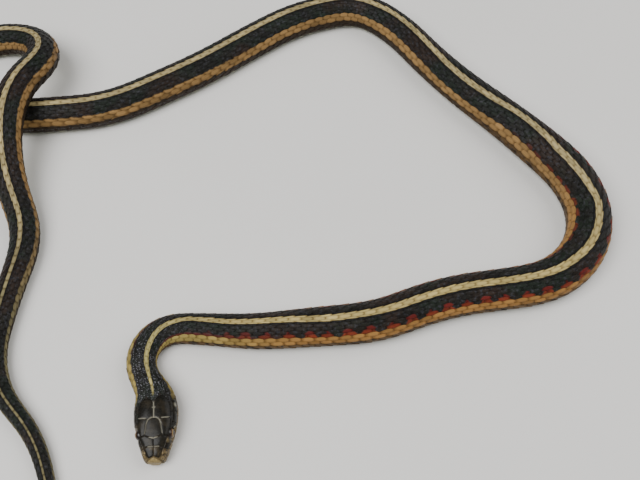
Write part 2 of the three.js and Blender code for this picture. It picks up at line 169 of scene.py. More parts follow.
EYE_BACK, EYE_OUT, EYE_HEIGHT, EYE_RADIUS = 7.6, 3.22, 4.2, 1.42
ORBIT_RADIUS, ORBIT_REACH, ORBIT_DEPTH = 1.27, 2.1, 0.4
SOCKET_DEPTH, SOCKET_SOFT = 0.55, 0.12
NOSTRIL_BACK, NOSTRIL_HEIGHT, NOSTRIL_RADIUS = 2.6, 4.0, 0.4
NOSTRIL_RIM = (NOSTRIL_RADIUS + 0.3, NOSTRIL_RADIUS - 0.1)
SKIN_PIT_DEPTH, PLATE_PIT_DEPTH = 0.5, 0.42

# The coat: its lengths by name, start and end, and how deep the skin lies under it
COAT_LENGTHS = (
    ("neck", 18.6, 70), ("front", 70, 185), ("middle", 185, 310), ("rear", 310, 425),
    ("hind", 425, VENT), ("tail", VENT, BODY_LENGTH - 3),
)
SKIN_DEPTH = 0.26
SKIN_DEPTH_SHARE = 0.09
# At the snout's tip the skin lies at the first depth and sinks by the second for each millimetre
TIP_DEPTH, TIP_SLOPE = 0.08, 0.9
BELLY_EDGE = math.radians(120)
ROW_COUNTS = (
    (0, 19), (300, 19), (330, 17), (500, 17), (528, 15), (560, 11.5), (600, 8.5), (640, 6), (660, 5),
)
FRONT_ROWS = ROW_COUNTS[0][1]
SCALE_PITCHES = (
    (0, 1.7), (21.5, 2.0), (45, 2.7), (90, 3.3), (400, 3.45), (500, 3.3), (525, 2.7), (560, 2.2), (640, 1.7),
    (660, 1.4),
)
# The lower rows are wider than those of the back: how far the lines between rows are moved up, in rows
ROW_SHIFTS = ((0, 0), (1, 0.4), (2, 0.65), (3, 0.8), (4, 0.9))
ROW_SHIFT_FROM, ROW_SHIFT_FULL = 4, 9.5
# How far the body lies rolled on its belly, in degrees towards the animal's right, by distance from the snout
ROLLS = (
    (16, 0), (20, -10), (24, -24), (28, -30), (31, -28), (34, -20), (38, -5), (40, 2), (45, 14), (50, 10),
    (55, 6), (65, 7), (70, 4), (75, -1), (80, -4), (90, -1), (100, -3), (130, -4), (145, -6), (155, -11),
    (165, -10), (170, 0), (175, 6), (180, 9), (185, 9), (190, 2), (200, -3), (205, 0), (210, 6), (220, 9),
    (230, 5), (235, 0), (245, -5), (255, -4), (265, 3), (275, 0),
)
SEED = 11

# A flank counts as steep enough for eye socket and nostril where the sine of its angle is above this
SIDEWAYS = 0.35
# Keeps a division or a direction sound where a length is nearly nothing
TINY = 1e-9


class View(Enum):
    """The way a head plate's outline is laid onto the head."""

    TOP = "top"
    SIDE = "side"
    BOTTOM = "bottom"
    WRAP = "wrap"


# Small pale marks on the plates: place in the flat view, and size
PALE_SPOTS = {
    View.TOP: ((0.3, 13.3, 0.16),),
    View.SIDE: ((13.9, 5.0, 0.42), (6.3, 3.6, 0.3), (9.2, 3.8, 0.3)),
}


class Slot(Enum):
    """The record's material slots."""

    HEAD = "head_shields"
    CHIN = "chin_shields"
    EYE = "eye"
    SCALES = "body_scales"


def read(table: tuple, places: Array) -> Array:
    """Reads a table of place and value pairs, straight between its lines and level beyond its ends."""
    knots, values = np.asarray(table, float).T
    return np.interp(places, knots, values)


def read_smooth(table: tuple, places: Array) -> Array:
    """Reads a table as a smooth curve that never overshoots its own lines.

    Args:
        table: Pairs of place and value, in rising order.
        places: Where to read it.

    Returns:
        The value at each place, level beyond the table's ends.
    """
    knots, values = np.asarray(table, float).T
    gaps = np.diff(knots)
    slopes = np.diff(values) / gaps
    tangents = np.concatenate((slopes[:1], np.zeros(len(slopes) - 1), slopes[-1:]))
    same_way = slopes[:-1] * slopes[1:] > 0
    products, sums = 2 * slopes[:-1] * slopes[1:], slopes[:-1] + slopes[1:]
    tangents[1:-1][same_way] = products[same_way] / sums[same_way]
    places = np.clip(places, knots[0], knots[-1])
    cell = np.clip(np.searchsorted(knots, places, side="right") - 1, 0, len(gaps) - 1)
    share = (places - knots[cell]) / gaps[cell]
    start, end = values[cell], values[cell + 1]
    lead = share * (1 - share) ** 2 * gaps[cell] * tangents[cell]
    trail = share**2 * (share - 1) * gaps[cell] * tangents[cell + 1]
    return start + (end - start) * share**2 * (3 - 2 * share) + lead + trail


def step_between(low: float, high: float, values: Array) -> Array:
    """Rises smoothly from 0 at low to 1 at high, or falls where high is under low."""
    share = np.clip((values - low) / (high - low), 0, 1)
    return share * share * (3 - 2 * share)


class BodyForm:
    """The animal's outer form, worked out from the same sizes as the solids."""

    STEPS_ROUND = 120
    NORMAL_STEP = 0.06
    NORMAL_TURN = 0.012
    NORMAL_LEAST = 1e-12
    NORMAL_TIP_SHARE = 0.4
    LAST_CELL = 1.001
    LAST_SHARE = 0.9999
    WIDTH_STEPS = (-2, -1, 0, 1, 2)

    def __init__(self) -> None:
        """Walks the axis along its bends and charts each section's girth."""
        self.steps = np.arange(0, BODY_LENGTH + SPINE_STEP, SPINE_STEP)
        headings = self.heading(self.steps[:-1] + SPINE_STEP / 2)
        self.axis_x = SPINE_X + np.concatenate(([0], np.cumsum(np.cos(headings)))) * SPINE_STEP
        self.axis_y = SPINE_Y + np.concatenate(([0], np.cumsum(np.sin(headings)))) * SPINE_STEP
        self.crossing_height = float(self.body_width(np.array([CROSSING_LOWER]))[0])
        self.crossing_height *= float(read(BODY_HEIGHT_SHARES, CROSSING_LOWER))
        self.crossing_height += CROSSING_GAP
        self.chart_girth()

    @staticmethod
    def glide(x: Array) -> Array:
        """Returns 0 before a bend, the distance into it after, and a smooth curve across the blend."""
        eased = (x + BEND_BLEND) ** 2 / (4 * BEND_BLEND)
        return np.where(x <= -BEND_BLEND, 0, np.where(x >= BEND_BLEND, x, eased))

    def heading(self, s: Array) -> Array:
        """Adds up the bends passed so far.

        Args:
            s: Distance from the snout.

        Returns:
            The axis's heading in radians.
        """
        total = np.full_like(s, math.radians(SPINE_HEADING), dtype=float)
        start = 0.0
        for length, turn in BENDS:
            inside = self.glide(s - start) - self.glide(s - start - length)
            total += math.radians(turn) / length * inside
            start += length
        return total

    def body_width(self, s: Array) -> Array:
        """Returns the body's width behind the head, averaged over a few nearby sections."""
        return sum(read(BODY_WIDTHS, s + k * WIDTH_BLEND) for k in self.WIDTH_STEPS) / len(self.WIDTH_STEPS)

    def sizes(self, s: Array) -> tuple[Array, Array, Array]:
        """Works out a section's main sizes.

        Args:
            s: Distance from the snout.

        Returns:
            Half width, height of the top and height of the underside.
        """
        head_tables = [tuple((math.sqrt(place - SNOUT_TIP), value) for place, value in table)
                       for table in (HEAD_HALF_WIDTHS, HEAD_TOPS, HEAD_UNDERSIDES)]
        root = np.sqrt(np.maximum(s - SNOUT_TIP, 0))
        half, top, low = (read_smooth(table, root) for table in head_tables)
        blend = step_between(*NECK_BLEND, s)
        width = self.body_width(s) - 2 * BEND_INSET * blend * step_between(BODY_LENGTH, THIN_TAIL, s)
        half = half + (width / 2 - half) * blend
        top = top + (width * read(BODY_HEIGHT_SHARES, s) - top) * blend
        closing = np.sqrt(1 - (1 - np.clip((BODY_LENGTH - s) / TAIL_TIP, 0, 1)) ** 2)
        middle = low + (top - low) * WIDEST_SHARE
        return half * closing, middle + (top - middle) * closing, middle + (low - middle) * closing

    def section(self, s: Array, angle: Array) -> tuple[Array, Array]:
        """Finds a point of a section's outline.

        Args:
            s: Distance from the snout.
            angle: Radians from the middle of the back, positive towards the animal's right.

        Returns:
            Reach to the animal's right and height above the section's own floor.
        """
        half, top, low = self.sizes(s)
        middle = low + (top - low) * WIDEST_SHARE
        sine, cosine = np.sin(angle), np.cos(angle)
        upper = cosine > 0
        power = 2 / np.where(upper, read_smooth(UPPER_SQUARENESS, s), LOWER_SQUARENESS)
        rise = np.abs(cosine) ** power
        above = middle + rise * (top - middle)
        below = middle - rise * (middle - low + (top - low) * FLAT_SHARE)
        return np.sign(sine) * np.abs(sine) ** power * half, np.where(upper, above, np.maximum(below, low))

    def climb(self, s: Array) -> Array:
        """Returns how far the body is lifted where it passes over itself."""
        run = (s - CROSSING_UPPER) / np.where(s < CROSSING_UPPER, -CROSSING_RISE, CROSSING_FALL)
        return self.crossing_height * 0.5 * (1 + np.cos(math.pi * np.clip(run, 0, 1)))

    def outer(self, s: Array, angle: Array) -> Array:
        """Finds points of the outer surface."""
        reach, height = self.section(s, angle)
        return self.beside_axis(s, reach, height + self.climb(s))

    def beside_axis(self, s: Array, reach: Array, height: Array) -> Array:
        """Returns points at a reach to the animal's right of its axis and a height above the floor."""
        turned = self.heading(s) + math.pi / 2
        x = np.interp(s, self.steps, self.axis_x) + reach * np.cos(turned)
        y = np.interp(s, self.steps, self.axis_y) + reach * np.sin(turned)
        return np.stack((x, y, height), axis=-1)

    def normals(self, s: Array, angle: Array) -> Array:
        """Finds the outer surface's normals from small steps along and round it.

        Args:
            s: Distance from the snout.
            angle: Radians from the middle of the back.

        Returns:
            Unit vectors that point outwards.
        """
        ahead = np.minimum(s + self.NORMAL_STEP, BODY_LENGTH)
        behind = np.maximum(s - self.NORMAL_STEP, SNOUT_TIP + (s - SNOUT_TIP) * self.NORMAL_TIP_SHARE)
        along = self.outer(ahead, angle) - self.outer(behind, angle)
        inner = np.clip(s, *NORMAL_ENDS)
        around = self.outer(inner, angle + self.NORMAL_TURN) - self.outer(inner, angle - self.NORMAL_TURN)
        normal = np.cross(along, around)
        return normal / np.maximum(np.linalg.norm(normal, axis=-1, keepdims=True), self.NORMAL_LEAST)

    def at_depth(self, s: Array, angle: Array, depth: Array) -> Array:
        """Returns points a given depth under the outer surface."""
        return self.outer(s, angle) - self.normals(s, angle) * np.asarray(depth)[..., None]

    def chart_girth(self) -> None:
        """Charts each section, so that a share of its half girth can be turned into an angle."""
        share = np.linspace(0, 1, self.STEPS_ROUND + 1)
        quarter = math.pi / 2 * (0.5 - 0.5 * np.cos(math.pi * share))
        angles = np.concatenate((quarter, math.pi / 2 + quarter[1:]))
        s = np.clip(self.steps, *CHART_ENDS)
        grid_s, grid_angle = np.broadcast_arrays(s[:, None], angles[None, :])
        reach, height = self.section(grid_s, grid_angle)
        strides = np.hypot(np.diff(reach, axis=1), np.diff(height, axis=1))
        arcs = np.concatenate((np.zeros((len(s), 1)), np.cumsum(strides, axis=1)), axis=1)
        self.half_girth = arcs[:, -1]
        shares = arcs / self.half_girth[:, None]
        self.angle_chart = np.array([np.interp(share, row, angles) for row in shares])
        self.edge_shares = np.array([np.interp(BELLY_EDGE, angles, row) for row in shares])

    def girth(self, s: Array) -> Array:
        """Returns the way round half a section, from back to belly."""
        return np.interp(s, self.steps, self.half_girth)

    def belly_share(self, s: Array) -> Array:
        """Returns the share of the half girth at which the belly scales begin."""
        return np.interp(s, self.steps, self.edge_shares)

    def angle_at(self, s: Array, share: Array) -> Array:
        """Turns a signed share of the half girth into an angle.

        Args:
            s: Distance from the snout.
            share: 0 on the back's middle line, 1 or -1 on the belly's.

        Returns:
            The angle in radians, with the share's sign.
        """
        step = np.clip(s / SPINE_STEP, 0, len(self.steps) - self.LAST_CELL)
        turn = np.clip(np.abs(share), 0, self.LAST_SHARE) * self.STEPS_ROUND
        i, j = step.astype(int), turn.astype(int)
        p, q = step - i, turn - j
        chart = self.angle_chart
        near = chart[i, j] * (1 - q) + chart[i, j + 1] * q
        far = chart[i + 1, j] * (1 - q) + chart[i + 1, j + 1] * q
        return np.sign(share) * (near * (1 - p) + far * p)

    def coat_depth(self, s: Array) -> Array:
        """Returns how far the skin lies under the outer surface, less where the body is thin."""
        return np.minimum(SKIN_DEPTH, SKIN_DEPTH_SHARE * self.sizes(s)[0])


class Lattice:
    """The lengthwise rows of back scales and their stations along the body."""

    TRIES = 16
    LEAST_ROWS = 0.1

    def __init__(self, form: BodyForm) -> None:
        """Counts the stations from the snout, one for each belly scale.

        Args:
            form: The animal's outer form.
        """
        self.form = form
        self.places = np.arange(0, BODY_LENGTH + SPINE_STEP, SPINE_STEP)
        steps = SPINE_STEP / read(SCALE_PITCHES, self.places[:-1] + SPINE_STEP / 2)
        self.counts = np.concatenate(([0], np.cumsum(steps)))

    def station(self, s: Array) -> Array:
        """Returns the station number at each distance from the snout."""
        return np.interp(s, self.places, self.counts)

    def nearest(self, s: float) -> int:
        """Returns the whole station nearest to a distance from the snout."""
        return int(round(float(self.station(s))))

    def place(self, station: Array) -> Array:
        """Returns the distance from the snout of each station."""
        return np.interp(station, self.counts, self.places)

    @staticmethod
    def half_rows(s: Array) -> Array:
        """Returns how many rows lie between the back's middle line and the belly scales."""
        return read(ROW_COUNTS, s) / 2

    def shift(self, s: Array, above: Array) -> Array:
        """Returns how far a line is moved up the side because the lower rows are wider.

        Args:
            s: Distance from the snout.
            above: How many rows the line lies above the belly scales.

        Returns:
            The shift in even rows, none on the middle of the back.
        """
        half = self.half_rows(s)
        last, most = ROW_SHIFTS[-1]
        low = read(ROW_SHIFTS, above)
        high = most * np.clip((half - above) / np.maximum(half - last, self.LEAST_ROWS), 0, 1)
        strength = np.clip((half - ROW_SHIFT_FROM) / (ROW_SHIFT_FULL - ROW_SHIFT_FROM), 0, 1)
        return strength * np.where(above < last, low, high)

    def share(self, s: Array, row: Array) -> Array:
        """Turns a row number into a share of the half girth.

        Args:
            s: Distance from the snout.
            row: Signed row, 0 on the back's middle line.

        Returns:
            The signed share, turned with the body's roll.
        """
        half, belly = self.half_rows(s), self.form.belly_share(s)
        above = half - np.abs(row)
        even = np.sign(row) * (half - above - self.shift(s, above)) / half
        return even * belly + np.radians(read_smooth(ROLLS, s)) / math.pi * np.clip(1 - even**2, 0, 1)

    def row(self, s: Array, share: Array) -> Array:
        """Turns a share of the half girth into a row number, by closing in on it from an even spacing.

        Args:
            s: Distance from the snout.
            share: Signed share of the half girth.

        Returns:
            The signed row.
        """
        half, belly = self.half_rows(s), self.form.belly_share(s)
        roll = np.radians(read_smooth(ROLLS, s)) / math.pi
        even = share / belly
        for _ in range(self.TRIES):
            even = (share - roll * np.clip(1 - even**2, 0, 1)) / belly
        moved = half * (1 - np.abs(even))
        above = moved
        for _ in range(self.TRIES):
            above = moved - self.shift(s, above)
        return np.sign(even) * (half - above)

    def spacing(self, s: Array) -> Array:
        """Returns the distance between neighbouring rows."""
        return self.form.belly_share(s) * self.form.girth(s) / self.half_rows(s)


def deselect_all() -> None:
    """Leaves edit mode and deselects everything, so that an operator meets only the new piece."""
    if bpy.context.object and bpy.context.object.mode != "OBJECT":
        bpy.ops.object.mode_set(mode="OBJECT")
    bpy.ops.object.select_all(action="DESELECT")


def pick(piece: bpy.types.Object, chosen: Array) -> None:
    """Selects vertices of a piece in edit mode.

    Args:
        piece: The object being edited.
        chosen: A flag for each vertex.
    """
    bpy.ops.mesh.select_mode(type="VERT")
    bpy.ops.mesh.select_all(action="DESELECT")
    shape = bmesh.from_edit_mesh(piece.data)
    shape.verts.ensure_lookup_table()
    for index in np.flatnonzero(chosen):
        shape.verts[index].select_set(True)
    shape.select_flush(True)
    bmesh.update_edit_mesh(piece.data)


@dataclass(frozen=True)
class Blank:
    """A modelled scale or plate, ready to be copied: its points, faces and which corners are underneath."""

    points: Array
    corners: Array
    starts: Array
    under: Array

    @staticmethod
    def taken_from(piece: bpy.types.Object) -> "Blank":
        """Reads a modelled piece and removes it.

        Args:
            piece: The finished mesh object. Its face with most corners is its underside.

        Returns:
            The piece as a blank.
        """
        mesh = piece.data
        points = np.empty(len(mesh.vertices) * 3)
        mesh.vertices.foreach_get("co", points)
        corners = np.empty(len(mesh.loops), int)
        mesh.loops.foreach_get("vertex_index", corners)
        starts, totals = np.empty(len(mesh.polygons), int), np.empty(len(mesh.polygons), int)
        mesh.polygons.foreach_get("loop_start", starts)
        mesh.polygons.foreach_get("loop_total", totals)
        under = np.repeat(totals == totals.max(), totals)
        bpy.data.objects.remove(piece)
        bpy.data.meshes.remove(mesh)
        return Blank(points.reshape(-1, 3), corners, starts, under)


@dataclass(frozen=True)
class ScaleShape:
    """One scale: half width 1, its root at 0 and its free end at 1, and the places of its edit rows."""

    across: tuple[float, ...] = (-1, -0.84, -0.42, 0, 0.42, 0.84, 1)
    along: tuple[float, ...] = (0, 0.1, 0.34, 0.6, 0.82, 0.95, 1)
    widths: tuple[float, ...] = (0.4, 0.58, 0.95, 0.93, 0.62, 0.33, 0.16)
    heights: tuple[float, ...] = (0, 0.1, 0.36, 0.64, 0.86, 1, 1)
    keel: float = 0.22
    crown: float = 0.16
    sunk: float = 0.45
    least_height: float = 0.05

    def model(self) -> Blank:
        """Models the scale from a grid: rows widened and lifted, keel raised, rim sunk and closed.

        Returns:
            The blank.
        """
        deselect_all()
        columns, rows = len(self.across), len(self.along)
        bpy.ops.mesh.primitive_grid_add(x_subdivisions=columns - 1, y_subdivisions=rows - 1, size=2)
        piece = bpy.context.object
        column, row = np.arange(columns * rows) % columns, np.arange(columns * rows) // columns
        bpy.ops.object.mode_set(mode="EDIT")
        for k, place in enumerate(self.across):
            pick(piece, column == k)
            lift = self.crown * (1 - place**2) + (self.keel if k == columns // 2 else 0)
            bpy.ops.transform.translate(value=(place + 1 - 2 * k / (columns - 1), 0, lift))
        for k, place in enumerate(self.along):
            pick(piece, row == k)
            size = (self.widths[k], 1, max(self.heights[k], self.least_height))
            bpy.ops.transform.resize(value=size, center_override=(0, 0, 0))
            bpy.ops.transform.translate(value=(0, place + 1 - 2 * k / (rows - 1), self.heights[k]))
        rim = (column == 0) | (column == columns - 1) | (row == 0) | (row == rows - 1)
        pick(piece, rim)
        bpy.ops.transform.resize(value=(1, 1, 0), center_override=(0, 0, 0))
        bpy.ops.transform.translate(value=(0, 0, -self.sunk))
        bpy.ops.mesh.select_mode(type="EDGE")
        bpy.ops.mesh.select_all(action="DESELECT")
        bpy.ops.mesh.select_non_manifold()
        bpy.ops.mesh.edge_face_add()
        bpy.ops.mesh.select_all(action="SELECT")
        bpy.ops.mesh.normals_make_consistent(inside=False)
        bpy.ops.object.mode_set(mode="OBJECT")
        return Blank.taken_from(piece)


KEELED_SCALE = ScaleShape()
SMOOTH_SCALE = ScaleShape(keel=0.0, widths=(0.6, 0.72, 0.97, 0.96, 0.72, 0.44, 0.28))
BELLY_SCALE = ScaleShape(
    across=tuple(np.linspace(-1, 1, 15)), along=(0, 0.12, 0.5, 0.86, 1),
    widths=(0.97, 0.985, 1, 0.99, 0.96), heights=(0, 0.12, 0.55, 1, 1), keel=0.0, crown=0.05,
)


@dataclass(frozen=True)
class PlateShape:
    """A head plate before it is laid on: a disc of radius 1 with rings on its top and a closed underside."""

    spokes: int = 56
    rings: tuple[float, ...] = (1, 0.985, 0.96, 0.92, 0.86, 0.76, 0.6, 0.44, 0.28, 0.13)

    def model(self) -> Blank:
        """Models the disc: a filled circle extruded up, its top inset ring by ring and poked in the middle.

        Returns:
            The blank, with its underside at height 0 and its top at height 1.
        """
        deselect_all()
        bpy.ops.mesh.primitive_circle_add(vertices=self.spokes, radius=1, fill_type="NGON")
        piece = bpy.context.object
        bpy.ops.object.mode_set(mode="EDIT")
        bpy.ops.mesh.select_all(action="SELECT")
        bpy.ops.mesh.extrude_region_move(TRANSFORM_OT_translate={"value": (0, 0, 1)})
        for outer, inner in zip(self.rings, self.rings[1:]):
            ratio = inner / outer
            bpy.ops.mesh.inset(thickness=0)
            bpy.ops.transform.resize(value=(ratio, ratio, 1), center_override=(0, 0, 1))
        bpy.ops.mesh.poke()
        bpy.ops.mesh.select_all(action="SELECT")
        bpy.ops.mesh.normals_make_consistent(inside=False)
        bpy.ops.object.mode_set(mode="OBJECT")
        return Blank.taken_from(piece)


def joined_copies(
    name: str, blank: Blank, points: Array, floats: dict[str, Array], maps: dict[str, Array]
) -> bpy.types.Object:
    """Joins many shaped copies of a blank in one mesh.

    Args:
        name: The piece's name.
        blank: What is copied.
        points: Places in millimetres, one line of points for each copy.
        floats: Named values for each point.
        maps: Named UV places for each face corner of each copy.

    Returns:
        The new object, at the origin.
    """
    count, size = points.shape[:2]
    corners = (blank.corners[None] + np.arange(count)[:, None] * size).ravel()
    starts = (blank.starts[None] + np.arange(count)[:, None] * len(blank.corners)).ravel()
    mesh = bpy.data.meshes.new(name)
    mesh.vertices.add(count * size)
    mesh.vertices.foreach_set("co", (points * MM).ravel())
    mesh.loops.add(len(corners))
    mesh.loops.foreach_set("vertex_index", corners)
    mesh.polygons.add(len(starts))
    mesh.polygons.foreach_set("loop_start", starts)
    mesh.update(calc_edges=True)
    piece = bpy.data.objects.new(name, mesh)
    bpy.context.scene.collection.objects.link(piece)
    give_data(piece, floats, maps)
    return piece


def give_data(piece: bpy.types.Object, floats: dict[str, Array], maps: dict[str, Array]) -> None:
    """Stores named values and UV maps on a mesh and shades it smooth.

    Args:
        piece: The object.
        floats: Named values for each point.
        maps: Named UV places for each face corner.
    """
    for label, values in floats.items():
        layer = piece.data.attributes.new(label, "FLOAT", "POINT")
        layer.data.foreach_set("value", np.ascontiguousarray(values, np.float32).ravel())
    for label, places in maps.items():
        layer = piece.data.uv_layers.new(name=label)
        layer.data.foreach_set("uv", np.ascontiguousarray(places, np.float32).ravel())
    piece.data.polygons.foreach_set("use_smooth", np.ones(len(piece.data.polygons), bool))
    piece.data.update()


def tidy_normals(piece: bpy.types.Object) -> None:
    """Turns every face of a piece outwards.

    Args:
        piece: The object.
    """
    deselect_all()
    bpy.context.view_layer.objects.active = piece
    piece.select_set(True)
    bpy.ops.object.mode_set(mode="EDIT")
    bpy.ops.mesh.select_all(action="SELECT")
    bpy.ops.mesh.normals_make_consistent(inside=False)
    bpy.ops.object.mode_set(mode="OBJECT")


def hand_over(piece: bpy.types.Object, material: Material) -> None:
    """Gives a finished piece its material and the body it rides on, and reports it.

    Args:
        piece: The object.
        material: The piece's material.
    """
    piece.data.materials.clear()
    piece.data.materials.append(material)
    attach(piece, "root")
    LOG.info("%s: %d faces", piece.name, len(piece.data.polygons))


class NodeSheet:
    """A node tree with short calls that add nodes and join them."""

    def __init__(self, tree: bpy.types.NodeTree) -> None:
        """Takes the tree to work on."""
        self.tree = tree

    def add(self, kind: str, inputs: dict | None = None, **settings: object) -> bpy.types.Node:
        """Adds a node.

        Args:
            kind: The node's type.
            inputs: Values or sockets for its inputs, by name or number.
            **settings: Values for the node's own properties.

        Returns:
            The node.
        """
        node = self.tree.nodes.new(kind)
        for label, value in settings.items():
            setattr(node, label, value)
        for label, value in (inputs or {}).items():
            self.feed(node.inputs[label], value)
        return node

    def feed(self, socket: Socket, value: object) -> None:
        """Joins a socket to an input, or sets the input's own value.

        Args:
            socket: The input.
            value: The socket to join to it, or a plain value.
        """
        if isinstance(value, Socket):
            self.tree.links.new(value, socket)
        else:
            socket.default_value = value

    def math(self, operation: str, *values: object) -> Socket:
        """Adds a Math node and returns its output."""
        return self.add("ShaderNodeMath", dict(enumerate(values)), operation=operation).outputs[0]

    def product(self, *values: object) -> Socket:
        """Multiplies two or more values.

        Args:
            *values: Numbers or sockets.

        Returns:
            The product.
        """
        result = values[0]
        for value in values[1:]:
            result = self.math("MULTIPLY", result, value)
        return result

    def scaled(self, value: object, factor: object, shift: object = 0.0) -> Socket:
        """Multiplies a value and adds a shift to it."""
        return self.math("MULTIPLY_ADD", value, factor, shift)

    def centred(self, value: object, reach: float) -> Socket:
        """Turns a value from 0 to 1 into one from minus to plus half the reach."""
        return self.scaled(value, reach, -reach / 2)

    def step(self, value: object, start: float, end: float) -> Socket:
        """Adds a smooth step from 0 at its start to 1 at its end, whichever of them is higher.

        Args:
            value: What is measured.
            start: Where the step starts.
            end: Where it is complete.

        Returns:
            A value from 0 to 1.
        """
        flip = end < start
        inputs = {
            "Value": value, "From Min": min(start, end), "From Max": max(start, end),
            "To Min": float(flip), "To Max": float(not flip),
        }
        return self.add("ShaderNodeMapRange", inputs, interpolation_type="SMOOTHSTEP").outputs["Result"]

    def mix(self, share: object, first: object, second: object, blend: str = "MIX") -> Socket:
        """Mixes two colours.

        Args:
            share: How much of the second colour shows.
            first: The first colour.
            second: The second colour.
            blend: How they are blended.

        Returns:
            The mixed colour.
        """
        node = self.add("ShaderNodeMix", data_type="RGBA", blend_type=blend)
        for index, value in ((0, share), (6, first), (7, second)):
            self.feed(node.inputs[index], value)
        return node.outputs[2]

    def times(self, colour: object, factor: object) -> Socket:
        """Multiplies a colour by another."""
        return self.mix(1.0, colour, factor, "MULTIPLY")

    def toned(self, colour: object, tone: object, reach: float) -> Socket:
        """Makes a colour lighter or darker by a scale's own tone, which goes from 0 to 1."""
        shade = self.scaled(tone, reach, 1 - reach / 2)
        return self.times(colour, self.add("ShaderNodeCombineXYZ", {0: shade, 1: shade, 2: shade}).outputs[0])

    def noise(self, scale: float, detail: float = 2, vector: object = None) -> Socket:
        """Adds noise on Object coordinates, or on another vector, and returns its value."""
        vector = vector or self.add("ShaderNodeTexCoord").outputs["Object"]
        return self.add("ShaderNodeTexNoise", {"Vector": vector, "Scale": scale, "Detail": detail}).outputs[0]

    def value(self, label: str) -> Socket:
        """Adds a reader for one of the piece's named values."""
        return self.add("ShaderNodeAttribute", attribute_name=label).outputs["Fac"]

    def place(self, label: str) -> tuple[Socket, Socket]:
        """Adds a reader for one of the piece's UV maps.

        Args:
            label: The map's name.

        Returns:
            Its two directions.
        """
        uv = self.add("ShaderNodeUVMap", uv_map=label).outputs[0]
        split = self.add("ShaderNodeSeparateXYZ", {0: uv})
        return split.outputs[0], split.outputs[1]


def new_group(
    name: str, inputs: tuple[str, ...], colours: tuple[str, ...], values: tuple[str, ...]
) -> NodeSheet:
    """Starts a shader node group with named sockets.

    Args:
        name: The group's name.
        inputs: Names of its number inputs.
        colours: Names of its colour outputs.
        values: Names of its number outputs.

    Returns:
        A sheet to add the group's nodes on.
    """
    tree = bpy.data.node_groups.new(name, "ShaderNodeTree")
    sockets = [(label, "INPUT", "NodeSocketFloat") for label in inputs]
    sockets += [(label, "OUTPUT", "NodeSocketColor") for label in colours]
    sockets += [(label, "OUTPUT", "NodeSocketFloat") for label in values]
    for label, way, kind in sockets:
        tree.interface.new_socket(name=label, in_out=way, socket_type=kind)
    return NodeSheet(tree)


